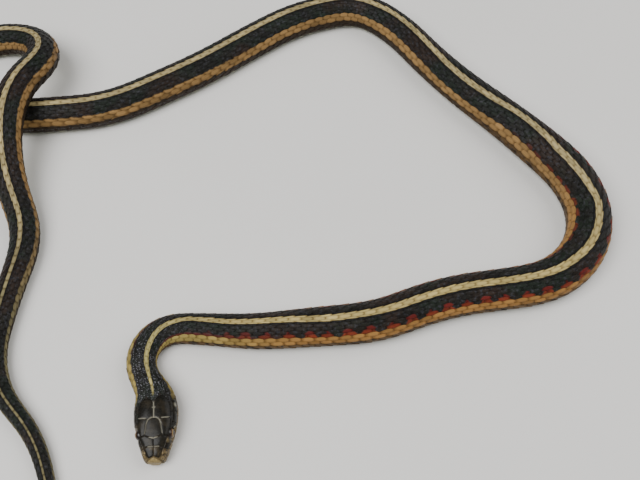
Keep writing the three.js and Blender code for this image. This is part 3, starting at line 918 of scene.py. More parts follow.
@dataclass(frozen=True)
class Markings:
    """The stripes, red blotches and dark flanks that skin and scales share.

    A pair of numbers says where a change starts and where it is complete: in millimetres from the snout for
    those along the body, in scale rows from the belly or the back's middle for those round it, and as a share
    of noise for patches. A grain is a noise's scale per metre.
    """

    charcoal: tuple = (0.0105, 0.010, 0.0085, 1)
    green_black: tuple = (0.0095, 0.0135, 0.0095, 1)
    blue_grey: tuple = (0.026, 0.026, 0.030, 1)
    brown: tuple = (0.018, 0.012, 0.009, 1)
    black: tuple = (0.004, 0.0035, 0.0035, 1)
    cream: tuple = (0.345, 0.27, 0.105, 1)
    neck_cream: tuple = (0.28, 0.24, 0.095, 1)
    rear_cream: tuple = (0.29, 0.235, 0.115, 1)
    # The tail's stripes: a greyer cream, darkened as painted shade where the tail lies in dimmer light
    shaded_grey_cream: tuple = (0.13, 0.112, 0.055, 1)
    ochre: tuple = (0.25, 0.128, 0.036, 1)
    rear_ochre: tuple = (0.21, 0.125, 0.047, 1)
    yellow_green: tuple = (0.26, 0.2, 0.06, 1)
    red: tuple = (0.085, 0.011, 0.009, 1)
    orange: tuple = (0.145, 0.026, 0.01, 1)
    maroon: tuple = (0.08, 0.018, 0.014, 1)
    olive: tuple = (0.085, 0.048, 0.017, 1)
    dark_olive: tuple = (0.024, 0.0155, 0.009, 1)
    belly: tuple = (0.36, 0.37, 0.26, 1)

    nape_along: tuple = (14, 18)
    neck_along: tuple = (75, 40)
    rear_along: tuple = (140, 185)
    tail_along: tuple = (515, 560)
    ragged_grain: float = 700
    ragged_rows: float = 0.44
    notch_rows: float = 0.2
    notch_middle: float = 0.65
    tone_reach: float = 0.7

    green_grain: float = 160
    green_patches: tuple = (0.42, 0.62)
    brown_grain: float = 75
    brown_patches: tuple = (0.46, 0.62)
    grey_grain: float = 1300
    grey_patches: tuple = (0.5, 0.72)

    back_stripe_along: tuple = (15.8, 17)
    back_stripe_edge: tuple = (0.4, 0.18)
    back_stripe_opens: tuple = (14, 27)
    back_stripe_rows: float = 0.62
    neck_narrowing: float = 0.06
    tail_narrowing: float = 0.3
    neck_cream_along: tuple = (55, 30)
    edging_rows: tuple = (1.9, 1.2)
    edging_along: tuple = (24, 32)
    edging_strength: float = 0.7
    side_stripe_foot: tuple = (1.85, 2.1)
    side_stripe_top: tuple = (4.15, 3.9)
    olive_rows: tuple = (2.2, 1.8)
    olive_darkens: tuple = (170, 260)
    olive_grain: float = 420
    olive_patches: tuple = (0.52, 0.62)
    belly_rows: tuple = (0.1, -0.25)

    blotch_foot: tuple = (3.9, 4.1)
    blotch_starts: tuple = (40, 66)
    blotch_ends: tuple = (205, 180)
    blotch_spacing: float = 5.1
    blotch_grain: float = 48
    blotch_drift: float = 5
    blotch_taper: float = -0.42
    blotch_width: float = 2.09
    blotch_edge: tuple = (0.46, 0.62)
    blotch_top: float = 6.1
    blotch_top_edge: tuple = (0, 0.35)
    patchy_grain: float = 210
    patchy_reach: float = 0.5
    patchy_top: float = 2.6
    right_side: tuple = (-0.5, 0.5)
    right_lower: float = -1.2
    right_fainter: float = -0.45
    orange_rows: tuple = (5.4, 4.2)
    lining_top: tuple = (4.8, 4.3)
    lining_along: tuple = (26, 36)

    def group(self) -> bpy.types.NodeTree:
        """Builds the markings as a node group.

        Returns:
            The group. It takes the distance along the body, the row, the rows above the belly, the scale's
            tone and the place on the scale, and gives Color, Pale and Red.
        """
        inputs = ("Along", "Row", "Edge Row", "Tone", "On Scale")
        sheet = new_group("garter_markings", inputs, ("Color",), ("Pale", "Red"))
        given = sheet.add("NodeGroupInput").outputs
        along, row = given["Along"], given["Row"]
        wobble = sheet.centred(sheet.noise(self.ragged_grain, 2), self.ragged_rows)
        off_middle = sheet.scaled(wobble, 0.5, sheet.math("ABSOLUTE", row))
        from_belly = sheet.math("ADD", given["Edge Row"], wobble)
        notch = sheet.scaled(given["On Scale"], self.notch_rows, -self.notch_rows * self.notch_middle)
        neck = sheet.step(along, *self.neck_along)
        rear = sheet.step(along, *self.rear_along)
        tail = sheet.step(along, *self.tail_along)

        red = self.blotches(sheet, along, row, from_belly)
        blotch_colour = sheet.mix(sheet.step(from_belly, *self.orange_rows), self.red, self.orange)
        colour = sheet.mix(red, self.ground(sheet), blotch_colour)
        lining = sheet.product(
            sheet.step(from_belly, *self.blotch_foot), sheet.step(from_belly, *self.lining_top), neck,
            sheet.step(along, *self.lining_along),
        )
        colour = sheet.mix(lining, colour, self.maroon)

        patches = sheet.step(sheet.noise(self.olive_grain, 2), *self.olive_patches)
        darker = sheet.math("MAXIMUM", sheet.step(along, *self.olive_darkens), patches)
        low_colour = sheet.mix(darker, self.olive, self.dark_olive)
        colour = sheet.mix(sheet.step(from_belly, *self.olive_rows), colour, low_colour)
        edging = sheet.product(
            sheet.step(off_middle, *self.edging_rows), sheet.step(along, *self.edging_along),
            self.edging_strength,
        )
        colour = sheet.mix(edging, colour, self.black)

        lateral = sheet.product(
            sheet.step(sheet.math("ADD", from_belly, notch), *self.side_stripe_foot),
            sheet.step(sheet.math("SUBTRACT", from_belly, notch), *self.side_stripe_top),
        )
        side_colour = sheet.mix(neck, sheet.mix(rear, self.ochre, self.rear_ochre), self.yellow_green)
        # The tail's side stripe in its greyer cream with painted shade
        side_colour = sheet.mix(tail, side_colour, self.shaded_grey_cream)
        behind_head = sheet.step(along, *self.nape_along)
        colour = sheet.mix(sheet.product(lateral, behind_head), colour, side_colour)

        half_width = sheet.scaled(
            sheet.step(along, *self.back_stripe_opens), self.back_stripe_rows,
            sheet.scaled(neck, -self.neck_narrowing, notch),
        )
        half_width = sheet.scaled(tail, -self.tail_narrowing, half_width)
        dorsal = sheet.product(
            sheet.step(sheet.math("SUBTRACT", off_middle, half_width), *self.back_stripe_edge),
            sheet.step(along, *self.back_stripe_along),
        )
        back_colour = sheet.mix(rear, self.cream, self.rear_cream)
        back_colour = sheet.mix(sheet.step(along, *self.neck_cream_along), back_colour, self.neck_cream)
        # The tail's back stripe in its greyer cream with painted shade
        back_colour = sheet.mix(tail, back_colour, self.shaded_grey_cream)
        colour = sheet.mix(dorsal, colour, back_colour)
        colour = sheet.mix(sheet.step(from_belly, *self.belly_rows), colour, self.belly)

        colour = sheet.toned(colour, given["Tone"], self.tone_reach)
        pale = sheet.math("MAXIMUM", dorsal, lateral)
        sheet.add("NodeGroupOutput", {"Color": colour, "Pale": pale, "Red": red})
        return sheet.tree

    def ground(self, sheet: NodeSheet) -> Socket:
        """Adds the dark ground of back and flanks, mixed from charcoal, green, brown and blue-grey.

        Args:
            sheet: The group's nodes.

        Returns:
            The colour.
        """
        green = sheet.step(sheet.noise(self.green_grain, 3), *self.green_patches)
        brown = sheet.step(sheet.noise(self.brown_grain, 2), *self.brown_patches)
        grey = sheet.step(sheet.noise(self.grey_grain, 2), *self.grey_patches)
        colour = sheet.mix(brown, sheet.mix(green, self.charcoal, self.green_black), self.brown)
        return sheet.mix(grey, colour, self.blue_grey)

    def blotches(
        self, sheet: NodeSheet, along: Socket, row: Socket,
        from_belly: Socket,
    ) -> Socket:
        """Adds the row of squarish red blotches above the side stripe of the front body.

        Args:
            sheet: The group's nodes.
            along: Distance from the snout.
            row: Signed row.
            from_belly: Rows above the belly scales.

        Returns:
            The share of red.
        """
        drift = sheet.scaled(along, 2 * math.pi / self.blotch_spacing)
        phase = sheet.scaled(sheet.noise(self.blotch_grain, 1), self.blotch_drift, drift)
        wave = sheet.scaled(sheet.math("COSINE", phase), 0.5, 0.5)
        patchy = sheet.centred(sheet.noise(self.patchy_grain, 2), self.patchy_reach)
        right = sheet.step(row, *self.right_side)
        taper = sheet.scaled(from_belly, self.blotch_taper, self.blotch_width)
        level = sheet.math("ADD", sheet.math("ADD", wave, taper), patchy)
        top = sheet.scaled(right, self.right_lower, sheet.scaled(patchy, self.patchy_top, self.blotch_top))
        return sheet.product(
            sheet.step(level, *self.blotch_edge),
            sheet.step(sheet.math("SUBTRACT", top, from_belly), *self.blotch_top_edge),
            sheet.step(from_belly, *self.blotch_foot),
            sheet.scaled(right, self.right_fainter, 1.0),
            sheet.step(along, *self.blotch_starts),
            sheet.step(along, *self.blotch_ends),
        )


def micro_relief_group() -> bpy.types.NodeTree:
    """Builds the fine relief of skin and scales: a pebbled noise with faint lengthwise streaks.

    Returns:
        The node group, with inputs Scale and Streaks and the output Height.
    """
    sheet = new_group("micro_relief", ("Scale", "Streaks"), (), ("Height",))
    given = sheet.add("NodeGroupInput").outputs
    at = {"Vector": sheet.add("ShaderNodeTexCoord").outputs["Object"], "Scale": given["Scale"]}
    pebbles = sheet.add("ShaderNodeTexVoronoi", at).outputs["Distance"]
    grain = sheet.add("ShaderNodeTexNoise", at | {"Detail": 3.0}).outputs[0]
    height = sheet.math("ADD", sheet.scaled(pebbles, 0.5, grain), given["Streaks"])
    sheet.add("NodeGroupOutput", {"Height": height})
    return sheet.tree


@dataclass(frozen=True)
class Groups:
    """The node groups that the animal's finishes share."""

    markings: bpy.types.NodeTree
    relief: bpy.types.NodeTree

    def add_markings(
        self, sheet: NodeSheet, tone: object, on_scale: object
    ) -> dict[str, Socket]:
        """Places the markings in a material and feeds them from the piece's named values.

        Args:
            sheet: The material's nodes.
            tone: The scale's own tone.
            on_scale: Place along the scale, from its root at 0 to its free end at 1.

        Returns:
            The group's outputs.
        """
        inputs = {
            "Tone": tone, "On Scale": on_scale, "Along": sheet.value("along"), "Row": sheet.value("row"),
            "Edge Row": sheet.value("edge_row"),
        }
        group = sheet.add("ShaderNodeGroup", node_tree=self.markings)
        for label, value in inputs.items():
            sheet.feed(group.inputs[label], value)
        return group.outputs

    def add_relief(
        self, sheet: NodeSheet, shader: bpy.types.Node, scale: float, depth: float, streaks: object = 0.0
    ) -> None:
        """Adds the fine relief to a material.

        Args:
            sheet: The material's nodes.
            shader: Its main shader.
            scale: Pebbles per metre.
            depth: Depth of the relief in millimetres.
            streaks: A value or socket added to the height.
        """
        group = sheet.add("ShaderNodeGroup", node_tree=self.relief)
        sheet.feed(group.inputs["Scale"], scale)
        sheet.feed(group.inputs["Streaks"], streaks)
        inputs = {"Strength": 1.0, "Distance": depth * MM, "Height": group.outputs["Height"]}
        sheet.feed(shader.inputs["Normal"], sheet.add("ShaderNodeBump", inputs).outputs[0])


def new_material(
    name: str, uniform: dict[str, float] | None = None
) -> tuple[Material, NodeSheet, bpy.types.Node]:
    """Starts a material.

    Args:
        name: The material's name.
        uniform: Values for the shader's sockets that are the same all over.

    Returns:
        The material, a sheet on its nodes and its main shader node.
    """
    material = bpy.data.materials.new(name)
    material.use_nodes = True
    shader = material.node_tree.nodes["Principled BSDF"]
    for label, value in (uniform or {}).items():
        shader.inputs[label].default_value = value
    return material, NodeSheet(material.node_tree), shader


@dataclass(frozen=True)
class BackScaleFinish:
    """The satin finish of the back scales: markings, dark edges, painted shade at the roots, a painted
    highlight along the keels and fine flecks.

    Pairs say where a change starts and is complete: on one scale from its middle line to its side or from its
    root to its free end, in millimetres from the snout, in rows above the belly, or as a share of noise.
    """

    # Tint of the scales' own dark edges, also used for the painted shade at their roots
    edge_tint_and_root_shade: tuple = (0.38, 0.34, 0.3, 1)
    # Painted highlight along the keel
    keel_highlight_tint: tuple = (1.35, 1.32, 1.3, 1)
    fleck: tuple = (0.165, 0.165, 0.18, 1)
    side_edge: tuple = (0.5, 0.8)
    free_edge: tuple = (0.8, 0.97)
    edge_strength: float = 0.8
    # Painted shade at each scale's root, where the scale before it lies over it
    root: tuple = (0.46, 0.26)
    root_shade_strength: float = 0.5
    # Where the painted keel highlight lies across and along the scale, and how strong it is
    keel_highlight_across: tuple = (0.2, 0.03)
    keel_highlight_along: tuple = (0.2, 0.45)
    keel_highlight_strength: float = 0.6
    not_pale: tuple = (0.5, 0.1)
    flank_rows: tuple = (3.9, 4.4)
    neck_along: tuple = (52, 18)
    neck_flecks: float = 0.85
    body_flecks: float = 0.05
    low_rows: tuple = (2.0, 1.5)
    low_starts: tuple = (300, 325)
    low_ends: tuple = (410, 385)
    low_flecks: float = 0.6
    behind_head: tuple = (14, 17)
    fleck_grains: tuple = (900, 3300)
    fleck_drift: float = 0.4
    fleck_noise: tuple = (0.75, 0.88)
    fleck_across: tuple = (0.05, 0.45)
    ridge_count: float = 60
    ridge_height: float = 0.22
    worn_grain: float = 900
    roughness: tuple = (0.2, 0.36)
    pale_roughness: float = 0.08
    relief: tuple = (5200, 0.03)

    def build(self, groups: Groups) -> Material:
        """Builds the material.

        Args:
            groups: The shared node groups.

        Returns:
            The material.
        """
        material, sheet, shader = new_material("back_scales", {"Specular IOR Level": 0.1})
        across, along = sheet.place("ScaleMap")
        marks = groups.add_markings(sheet, sheet.value("tone"), along)
        side = sheet.math("ABSOLUTE", sheet.scaled(across, 2, -1))
        edge = sheet.math("MAXIMUM", sheet.step(side, *self.side_edge), sheet.step(along, *self.free_edge))
        # Painted highlight along the keel's middle line
        keel = sheet.product(
            sheet.step(side, *self.keel_highlight_across), sheet.step(along, *self.keel_highlight_along), self.keel_highlight_strength
        )
        colour = marks["Color"]
        # The scales' own darker edge colour, also used as the painted shade at the root
        dark = sheet.times(colour, self.edge_tint_and_root_shade)
        colour = sheet.mix(sheet.product(edge, self.edge_strength), colour, dark)
        # Painted shade: the root darkened where the scale before it lies over it
        colour = sheet.mix(sheet.product(sheet.step(along, *self.root), self.root_shade_strength), colour, dark)
        # Painted highlight: the keel made paler
        colour = sheet.mix(keel, colour, sheet.times(colour, self.keel_highlight_tint))
        flecks = sheet.product(self.flecks(sheet, marks["Pale"]), sheet.step(side, *self.fleck_across))
        sheet.feed(shader.inputs["Base Color"], sheet.mix(flecks, colour, self.fleck))
        rough = sheet.scaled(sheet.noise(self.worn_grain, 3), *self.roughness)
        sheet.feed(shader.inputs["Roughness"], sheet.scaled(marks["Pale"], self.pale_roughness, rough))
        ridges = sheet.math("SINE", sheet.product(across, self.ridge_count))
        groups.add_relief(sheet, shader, *self.relief, sheet.product(ridges, self.ridge_height))
        return material

    def flecks(self, sheet: NodeSheet, pale: Socket) -> Socket:
        """Adds the small bluish flecks of the neck's flanks and the rear body's lowest rows.

        Args:
            sheet: The material's nodes.
            pale: Where the pale stripes are.

        Returns:
            How strong the flecks are.
        """
        place, above = sheet.value("along"), sheet.value("edge_row")
        neck = sheet.scaled(sheet.step(place, *self.neck_along), self.neck_flecks, self.body_flecks)
        flank = sheet.product(sheet.step(above, *self.flank_rows), sheet.step(pale, *self.not_pale), neck)
        below = sheet.product(
            sheet.step(place, *self.low_starts), sheet.step(place, *self.low_ends),
            sheet.step(above, *self.low_rows), self.low_flecks,
        )
        coarse, fine = (sheet.noise(grain, detail) for grain, detail in zip(self.fleck_grains, (2, 1)))
        spread = sheet.step(sheet.scaled(coarse, self.fleck_drift, fine), *self.fleck_noise)
        return sheet.product(
            sheet.math("MAXIMUM", flank, below), spread, sheet.step(place, *self.behind_head)
        )


@dataclass(frozen=True)
class BellyScaleFinish:
    """The smooth finish of the belly scales: pale, with a dark spot near each end and a paler free edge."""

    spot: tuple = (0.03, 0.035, 0.035, 1)
    spot_inner: tuple = (0.62, 0.74)
    spot_outer: tuple = (0.92, 0.82)
    spot_along: tuple = (0.62, 0.4)
    spot_strength: float = 0.8
    hem: tuple = (0.55, 0.56, 0.46, 1)
    hem_along: tuple = (0.82, 1.0)
    hem_strength: float = 0.5
    worn_grain: float = 700
    roughness: tuple = (0.16, 0.28)
    relief: tuple = (3000, 0.015)

    def build(self, groups: Groups) -> Material:
        """Builds the material.

        Args:
            groups: The shared node groups.

        Returns:
            The material.
        """
        material, sheet, shader = new_material("belly_scales", {"Specular IOR Level": 0.3})
        across, along = sheet.place("ScaleMap")
        marks = groups.add_markings(sheet, sheet.value("tone"), along)
        side = sheet.math("ABSOLUTE", sheet.scaled(across, 2, -1))
        spot = sheet.product(
            sheet.step(side, *self.spot_inner), sheet.step(side, *self.spot_outer),
            sheet.step(along, *self.spot_along), self.spot_strength,
        )
        hem = sheet.product(sheet.step(along, *self.hem_along), self.hem_strength)
        colour = sheet.mix(hem, sheet.mix(spot, marks["Color"], self.spot), self.hem)
        sheet.feed(shader.inputs["Base Color"], colour)
        sheet.feed(shader.inputs["Roughness"], sheet.scaled(sheet.noise(self.worn_grain, 3), *self.roughness))
        groups.add_relief(sheet, shader, *self.relief)
        return material


@dataclass(frozen=True)
class SkinFinish:
    """The skin: the coat's markings, darker, with pale and red flecks between the scales, and head seams
    whose pale crown lines are partly painted glints.
    """

    tint: tuple = (0.42, 0.4, 0.4, 1)
    red: tuple = (0.5, 0.05, 0.03, 1)
    fleck: tuple = (0.5, 0.56, 0.6, 1)
    dark_seam: tuple = (0.018, 0.014, 0.011, 1)
    snout_seam: tuple = (0.09, 0.065, 0.03, 1)
    throat_seam: tuple = (0.38, 0.34, 0.22, 1)
    # Pale crown seams: partly pale skin, partly painted glints on the plate edges
    crown_seam_and_glint: tuple = (0.42, 0.39, 0.3, 1)
    flank_rows: tuple = (3.0, 3.6)
    not_pale: tuple = (0.5, 0.1)
    fleck_noise: tuple = (0.5, 0.58)
    neck_along: tuple = (100, 45)
    neck_flecks: float = 0.8
    body_flecks: float = 0.2
    behind_head: tuple = (19, 24)
    snout_along: tuple = (4.5, 2)
    throat_rows: tuple = (0.7, 0.1)
    head_along: tuple = (17.5, 16)
    even_tone: float = 0.5
    mid_scale: float = 0.65
    fleck_grain: float = 850
    worn_grain: float = 1100
    roughness: tuple = (0.2, 0.45)
    relief: tuple = (4200, 0.05)

    def build(self, groups: Groups) -> Material:
        """Builds the material.

        Args:
            groups: The shared node groups.

        Returns:
            The material.
        """
        material, sheet, shader = new_material("skin", {"Specular IOR Level": 0.12})
        marks = groups.add_markings(sheet, self.even_tone, self.mid_scale)
        along, edge = sheet.value("along"), sheet.value("edge_row")
        colour = sheet.mix(marks["Red"], sheet.times(marks["Color"], self.tint), self.red)
        flecks = sheet.product(
            sheet.step(sheet.noise(self.fleck_grain, 1), *self.fleck_noise),
            sheet.step(edge, *self.flank_rows),
            sheet.step(marks["Pale"], *self.not_pale),
            sheet.scaled(sheet.step(along, *self.neck_along), self.neck_flecks, self.body_flecks),
            sheet.step(along, *self.behind_head),
        )
        colour = sheet.mix(flecks, colour, self.fleck)
        seams = sheet.mix(sheet.step(along, *self.snout_along), self.dark_seam, self.snout_seam)
        seams = sheet.mix(sheet.step(edge, *self.throat_rows), seams, self.throat_seam)
        # Pale crown seams, partly painted glints
        seams = sheet.mix(sheet.value("seam"), seams, self.crown_seam_and_glint)
        sheet.feed(shader.inputs["Base Color"], sheet.mix(sheet.step(along, *self.head_along), colour, seams))
        sheet.feed(shader.inputs["Roughness"], sheet.scaled(sheet.noise(self.worn_grain, 3), *self.roughness))
        groups.add_relief(sheet, shader, *self.relief)
        return material


@dataclass(frozen=True)
class HeadPlateFinish:
    """The glossy finish of the head plates: black-brown above, tan on snout and lips, with a painted
    highlight along the rims and pale crown seams that are partly painted glints.
    """

    black: tuple = (0.006, 0.0055, 0.004, 1)
    black_brown: tuple = (0.02, 0.016, 0.01, 1)
    tan: tuple = (0.12, 0.085, 0.038, 1)
    light_tan: tuple = (0.2, 0.15, 0.07, 1)
    snout_tan: tuple = (0.27, 0.2, 0.085, 1)
    freckle: tuple = (0.05, 0.035, 0.02, 1)
    bar: tuple = (0.014, 0.010, 0.008, 1)
    # Painted highlight along the plates' rims, where light catches their rounded edges
    rim_highlight: tuple = (0.05, 0.042, 0.034, 1)
    # Colour of the pale spots and of the pale crown seams, which are partly painted glints
    pale: tuple = (0.36, 0.34, 0.27, 1)
    dark_mottle: tuple = (0.42, 0.7)
    light_mottle: tuple = (0.35, 0.7)
    mottle_reach: float = 0.5
    snout_tans: tuple = (0.85, 1.0)
    tan_edge: tuple = (0.3, 0.7)
    freckle_noise: tuple = (0.46, 0.62)
    snout_freckles: float = -0.6
    bar_back: tuple = (0.74, 0.9)
    bar_strength: float = 0.8
    # Width and strength of the painted rim highlight
    rim_width: tuple = (0.12, 0.03)
    rim_strength: float = 0.35
    tone_reach: float = 0.4
    mottle_grain: float = 520
    freckle_grain: float = 2600
    roughness: tuple = (0.16, 0.2)
    relief: tuple = (2600, 0.006)

    def build(self, groups: Groups) -> Material:
        """Builds the material.

        Args:
            groups: The shared node groups.

        Returns:
            The material.
        """
        gloss = {"Specular IOR Level": 0.13, "Coat Weight": 0.04, "Coat Roughness": 0.12}
        material, sheet, shader = new_material("head_plates", gloss)
        tan, rim, spot, tone = (sheet.value(label) for label in ("tan", "rim", "spot", "tone"))
        mottle, fine = sheet.noise(self.mottle_grain, 4), sheet.noise(self.freckle_grain, 2)
        snout = sheet.step(tan, *self.snout_tans)
        dark = sheet.mix(sheet.step(mottle, *self.dark_mottle), self.black, self.black_brown)
        light = sheet.mix(sheet.step(mottle, *self.light_mottle), self.tan, self.light_tan)
        light = sheet.mix(snout, light, self.snout_tan)
        fewer = sheet.scaled(snout, self.snout_freckles, 1.0)
        light = sheet.mix(sheet.product(sheet.step(fine, *self.freckle_noise), fewer), light, self.freckle)
        mottled_tan = sheet.math("ADD", tan, sheet.centred(mottle, self.mottle_reach))
        tan_share = sheet.step(mottled_tan, *self.tan_edge)
        colour = sheet.mix(tan_share, dark, light)
        _, back = sheet.place("PlateMap")
        lips = sheet.math("SUBTRACT", tan, snout)
        bars = sheet.product(sheet.step(back, *self.bar_back), lips, self.bar_strength)
        colour = sheet.mix(bars, colour, self.bar)
        # Painted highlight: the dark plates made lighter along their rims
        not_tan = sheet.math("SUBTRACT", 1.0, tan)
        edge = sheet.product(sheet.step(rim, *self.rim_width), not_tan, self.rim_strength)
        colour = sheet.mix(edge, colour, self.rim_highlight)
        # Pale spots, and pale crown seams that are partly painted glints
        colour = sheet.mix(sheet.math("MAXIMUM", spot, sheet.value("seam")), colour, self.pale)
        sheet.feed(shader.inputs["Base Color"], sheet.toned(colour, tone, self.tone_reach))
        sheet.feed(shader.inputs["Roughness"], sheet.scaled(fine, *self.roughness))
        groups.add_relief(sheet, shader, *self.relief)
        return material


@dataclass(frozen=True)
class ChinFinish:
    """The cream finish of chin plates and throat scales."""

    cream: tuple = (0.5, 0.45, 0.3, 1)
    light_cream: tuple = (0.62, 0.6, 0.45, 1)
    rim: tuple = (0.2, 0.17, 0.1, 1)
    rim_width: tuple = (0.14, 0.03)
    rim_strength: float = 0.4
    tone_reach: float = 0.3
    mottle_grain: float = 600
    roughness: tuple = (0.15, 0.27)
    relief: tuple = (2600, 0.02)

    def build(self, groups: Groups) -> Material:
        """Builds the material.

        Args:
            groups: The shared node groups.

        Returns:
            The material.
        """
        material, sheet, shader = new_material("chin_plates")
        mottle = sheet.noise(self.mottle_grain, 3)
        edge = sheet.product(sheet.step(sheet.value("rim"), *self.rim_width), self.rim_strength)
        colour = sheet.mix(edge, sheet.mix(mottle, self.cream, self.light_cream), self.rim)
        sheet.feed(shader.inputs["Base Color"], sheet.toned(colour, sheet.value("tone"), self.tone_reach))
        sheet.feed(shader.inputs["Roughness"], sheet.scaled(mottle, *self.roughness))
        groups.add_relief(sheet, shader, *self.relief)
        return material


@dataclass(frozen=True)
class EyeFinish:
    """The eye under its clear scale: round pupil, thin gold ring and dark copper iris."""

    pupil: tuple = (0.002, 0.002, 0.002, 1)
    ring: tuple = (0.55, 0.36, 0.12, 1)
    iris: tuple = (0.02, 0.009, 0.005, 1)
    iris_streak: tuple = (0.11, 0.05, 0.018, 1)
    outer: tuple = (0.006, 0.004, 0.003, 1)
    pupil_edge: tuple = (0.18, 0.172)
    ring_inner: tuple = (0.17, 0.185)
    ring_outer: tuple = (0.215, 0.195)
    outer_edge: tuple = (0.26, 0.36)
    streak_noise: tuple = (0.38, 0.68)
    rays: float = 6.0
    ray_grain: float = 2.2
    roughness: tuple = (0.1, 0.25)

    def build(self) -> Material:
        """Builds the material.

        Returns:
            The material.
        """
        gloss = {"Specular IOR Level": 0.15, "Coat Weight": 0.5, "Coat Roughness": 0.03}
        material, sheet, shader = new_material("eye", gloss)
        dx, dy = (sheet.math("SUBTRACT", value, 0.5) for value in sheet.place("EyeMap"))
        radius = sheet.math("SQRT", sheet.math("ADD", sheet.product(dx, dx), sheet.product(dy, dy)))
        turn = sheet.product(sheet.math("ARCTAN2", dy, dx), self.rays)
        at = sheet.add("ShaderNodeCombineXYZ", {0: turn, 1: radius, 2: 0.0}).outputs[0]
        streaks = sheet.noise(self.ray_grain, 4, at)
        colour = sheet.mix(sheet.step(streaks, *self.streak_noise), self.iris, self.iris_streak)
        colour = sheet.mix(sheet.step(radius, *self.outer_edge), colour, self.outer)
        ring = sheet.product(sheet.step(radius, *self.ring_inner), sheet.step(radius, *self.ring_outer))
        colour = sheet.mix(ring, colour, self.ring)
        with_pupil = sheet.mix(sheet.step(radius, *self.pupil_edge), colour, self.pupil)
        sheet.feed(shader.inputs["Base Color"], with_pupil)
        sheet.feed(shader.inputs["Roughness"], sheet.scaled(streaks, *self.roughness))
        return material


